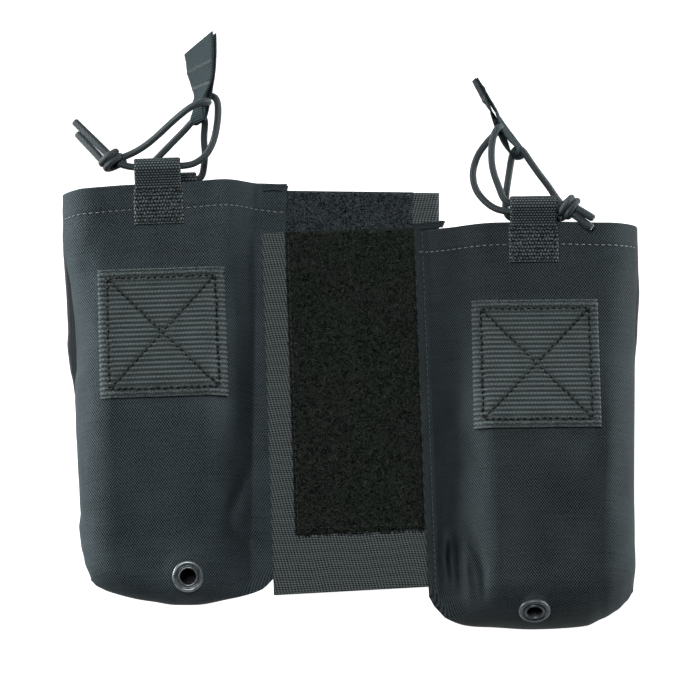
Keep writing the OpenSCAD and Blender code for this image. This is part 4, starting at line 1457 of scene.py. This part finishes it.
def cutEnds(name, body, tipEnds):  # the rubber strands that show where the cord is cut
    parts = [], [], []
    rand = random.Random(len(name))
    for tip, out in tipEnds:
        across = out.orthogonal().normalized()
        other = out.cross(across)
        for _ in range(coreCut["strands"]):
            a, d = rand.uniform(0, 2 * math.pi), coreCut["spread"] * math.sqrt(rand.random())
            root = tip + (across * math.cos(a) + other * math.sin(a)) * d - out * coreCut["sunk"]
            line = [root, root + out * rand.uniform(0.35, 0.6)]
            line.append(root + out * rand.uniform(0.65, 0.95) + across * rand.uniform(-0.15, 0.15))
            joinParts(parts, tubeParts(line, coreCut["radii"], coreCut["sides"], len(parts[0])))
    core = addMesh(name + "_cord_core", *parts, cordCore)
    faceOut(core)
    return place(core, body, "cord")


madeKnots = {name: makeKnot(name, k) for name, k in knots.items()}
print("knots tied")

makeCord("left_front", (-72, 96, 15), (-60, 112, 15))
makeCord("left_rear", (-70, 92, 8), (-61, 108, 14))
makeCord("right_front", (60, 82, 13), (60, 102, 12))
makeCord("right_rear", (70, 78, 8), (66, 97, 10))

# Pull tabs: a tape folded round both cords and sewn to itself, given by its two edges
tape = dict(thick=0.8, across=16, step=0.33)
tack = dict(stitches=26, passes=2, slant=0.4, stray=1.0, length=(1.9, 2.5))
tabs = dict(
    left=dict(
        body="left_tab",
        edges=[
            ((-66.8, 138.0, 3.0), (-55.3, 145.4, 15.0)), ((-66.1, 134.3, 4.5), (-55.1, 139.0, 17.0)),
            ((-65.5, 129.5, 7.0), (-55.0, 133.2, 18.5)), ((-64.1, 124.7, 10.0), (-55.3, 126.5, 20.0)),
            ((-62.9, 120.7, 12.5), (-56.5, 121.9, 21.0)), ((-62.5, 117.6, 14.0), (-58.1, 118.8, 21.6)),
            ((-62.5, 115.1, 14.6), (-59.1, 115.8, 21.6)), ((-63.3, 112.3, 14.8), (-58.9, 112.8, 21.4)),
            ((-64.1, 109.7, 14.4), (-58.3, 110.8, 20.8)), ((-63.3, 107.9, 13.8), (-58.2, 109.0, 19.8)),
            ((-61.5, 107.8, 12.6), (-57.7, 109.6, 18.0)), ((-60.1, 109.9, 11.6), (-57.2, 112.0, 16.8)),
            ((-59.1, 113.6, 11.0), (-56.5, 115.3, 16.4)), ((-58.9, 117.8, 10.0), (-55.7, 119.3, 16.4)),
            ((-59.5, 122.4, 8.5), (-54.8, 124.5, 16.6)), ((-61.1, 128.5, 6.0), (-54.1, 130.3, 16.0)),
            ((-63.5, 134.1, 3.4), (-53.8, 137.7, 14.6)), ((-66.1, 137.9, 1.8), (-53.9, 145.0, 13.0)),
        ],
        tacks=[0.12, 0.215],  # shares of the way along the tape
    ),
    right=dict(
        body="right_tab",
        edges=[
            ((48.9, 127.3, 2.5), (49.7, 125.7, 18.5)), ((50.7, 123.8, 2.8), (51.9, 121.8, 18.6)),
            ((52.7, 120.0, 3.2), (53.9, 118.2, 18.4)), ((55.5, 115.9, 3.6), (55.5, 114.5, 17.6)),
            ((58.3, 112.0, 4.0), (56.3, 110.6, 16.4)), ((60.3, 108.4, 4.6), (57.5, 107.0, 15.2)),
            ((61.9, 104.7, 5.2), (59.1, 103.2, 14.6)), ((63.1, 101.2, 5.6), (60.7, 100.0, 14.4)),
            ((64.1, 97.6, 5.8), (62.5, 97.6, 14.2)), ((65.9, 95.0, 5.8), (63.9, 96.6, 13.8)),
            ((68.9, 95.4, 5.4), (65.7, 97.0, 14.0)), ((70.0, 97.9, 5.2), (65.5, 98.8, 14.6)),
            ((68.1, 100.9, 5.0), (63.1, 101.1, 15.2)), ((65.7, 104.2, 4.8), (61.1, 103.8, 15.8)),
            ((62.9, 107.9, 4.4), (59.5, 107.2, 16.6)), ((60.3, 111.6, 4.0), (58.3, 110.9, 17.6)),
            ((57.7, 115.3, 3.2), (57.1, 114.6, 18.4)), ((55.1, 119.8, 2.6), (54.7, 118.6, 18.8)),
            ((52.5, 124.3, 2.2), (52.3, 122.8, 18.8)), ((50.7, 127.4, 2.2), (50.5, 125.8, 18.8)),
        ],
        tacks=[0.12, 0.24, 0.82, 0.93],
    ),
)


def tapeRows(edges, step):
    left, right = [Vector(a) for a, _ in edges], [Vector(b) for _, b in edges]
    mids = [(a + b) / 2 for a, b in zip(left, right)]
    count = int(lineLength(mids) / step)
    pairs = []
    for i in range(count + 1):
        want = (len(edges) - 1) * i / count
        j = min(len(edges) - 2, int(want))
        spots = [max(0, j - 1), j, j + 1, min(len(edges) - 1, j + 2)]
        pairs.append([splinePoint(*(line[s] for s in spots), want - j) for line in (left, right)])
    return pairs


def makeTab(name, t):
    pairs = tapeRows(t["edges"], tape["step"])
    bands, ups, run = [], [], 0.0
    across, half = tape["across"], tape["thick"] / 2
    for k, (a, b) in enumerate(pairs):
        before, after = pairs[max(0, k - 1)], pairs[min(len(pairs) - 1, k + 1)]
        ahead = (after[0] + after[1] - before[0] - before[1]) / 2
        up = (b - a).cross(ahead).normalized()
        ups.append(up)
        if k:
            run += ((a + b) / 2 - (pairs[k - 1][0] + pairs[k - 1][1]) / 2).length
        over, under, uv = [], [], []
        for i in range(across + 1):
            f = i / across
            edge = 0.55 + 0.45 * ease(min(f, 1 - f) / 0.06)
            sway = 0.10 * noise.noise(Vector((run * 0.3, f * 3, len(name))))
            spot = a.lerp(b, f) + up * sway
            over.append(spot + up * half * edge)
            under.append(spot - up * half * edge)
            uv.append((f * (b - a).length, run))
        bands.append((over, under, uv))
    obj = flatLoft(name + "_tab_tape", bands, tabTape)
    place(obj, t["body"], "tape", name + "_pull_tab")
    barTacks(name, t, pairs, ups)


def barTacks(name, t, pairs, ups):  # each a zigzag sewn over itself, on the side that faces up
    rand = random.Random(len(name) * 7)
    spots = []
    for share, turn in ((share, turn) for share in t["tacks"] for turn in range(tack["passes"])):
        for i, f in enumerate(np.linspace(0.04, 0.96, tack["stitches"])):
            k = int(len(pairs) * share + rand.uniform(-tack["stray"], tack["stray"]))
            a, b = pairs[k]
            out = ups[k] if ups[k].z > 0 else -ups[k]
            f = min(0.97, max(0.03, f + rand.uniform(-0.012, 0.012)))
            spot = a.lerp(b, f) + out * (tape["thick"] * 0.4)
            ahead = (pairs[k + 1][0] - pairs[k - 1][0]).normalized()
            slant = (b - a).normalized() * (tack["slant"] if (i + turn) % 2 else -tack["slant"])
            spots.append((spot, ahead + slant, out, rand.uniform(*tack["length"])))
    stitchRow(name + "_tab_tack", spots, threadWide, thread["tack"], t["body"], "tape")


for name, t in tabs.items():
    makeTab(name, t)
print("pull tabs folded")
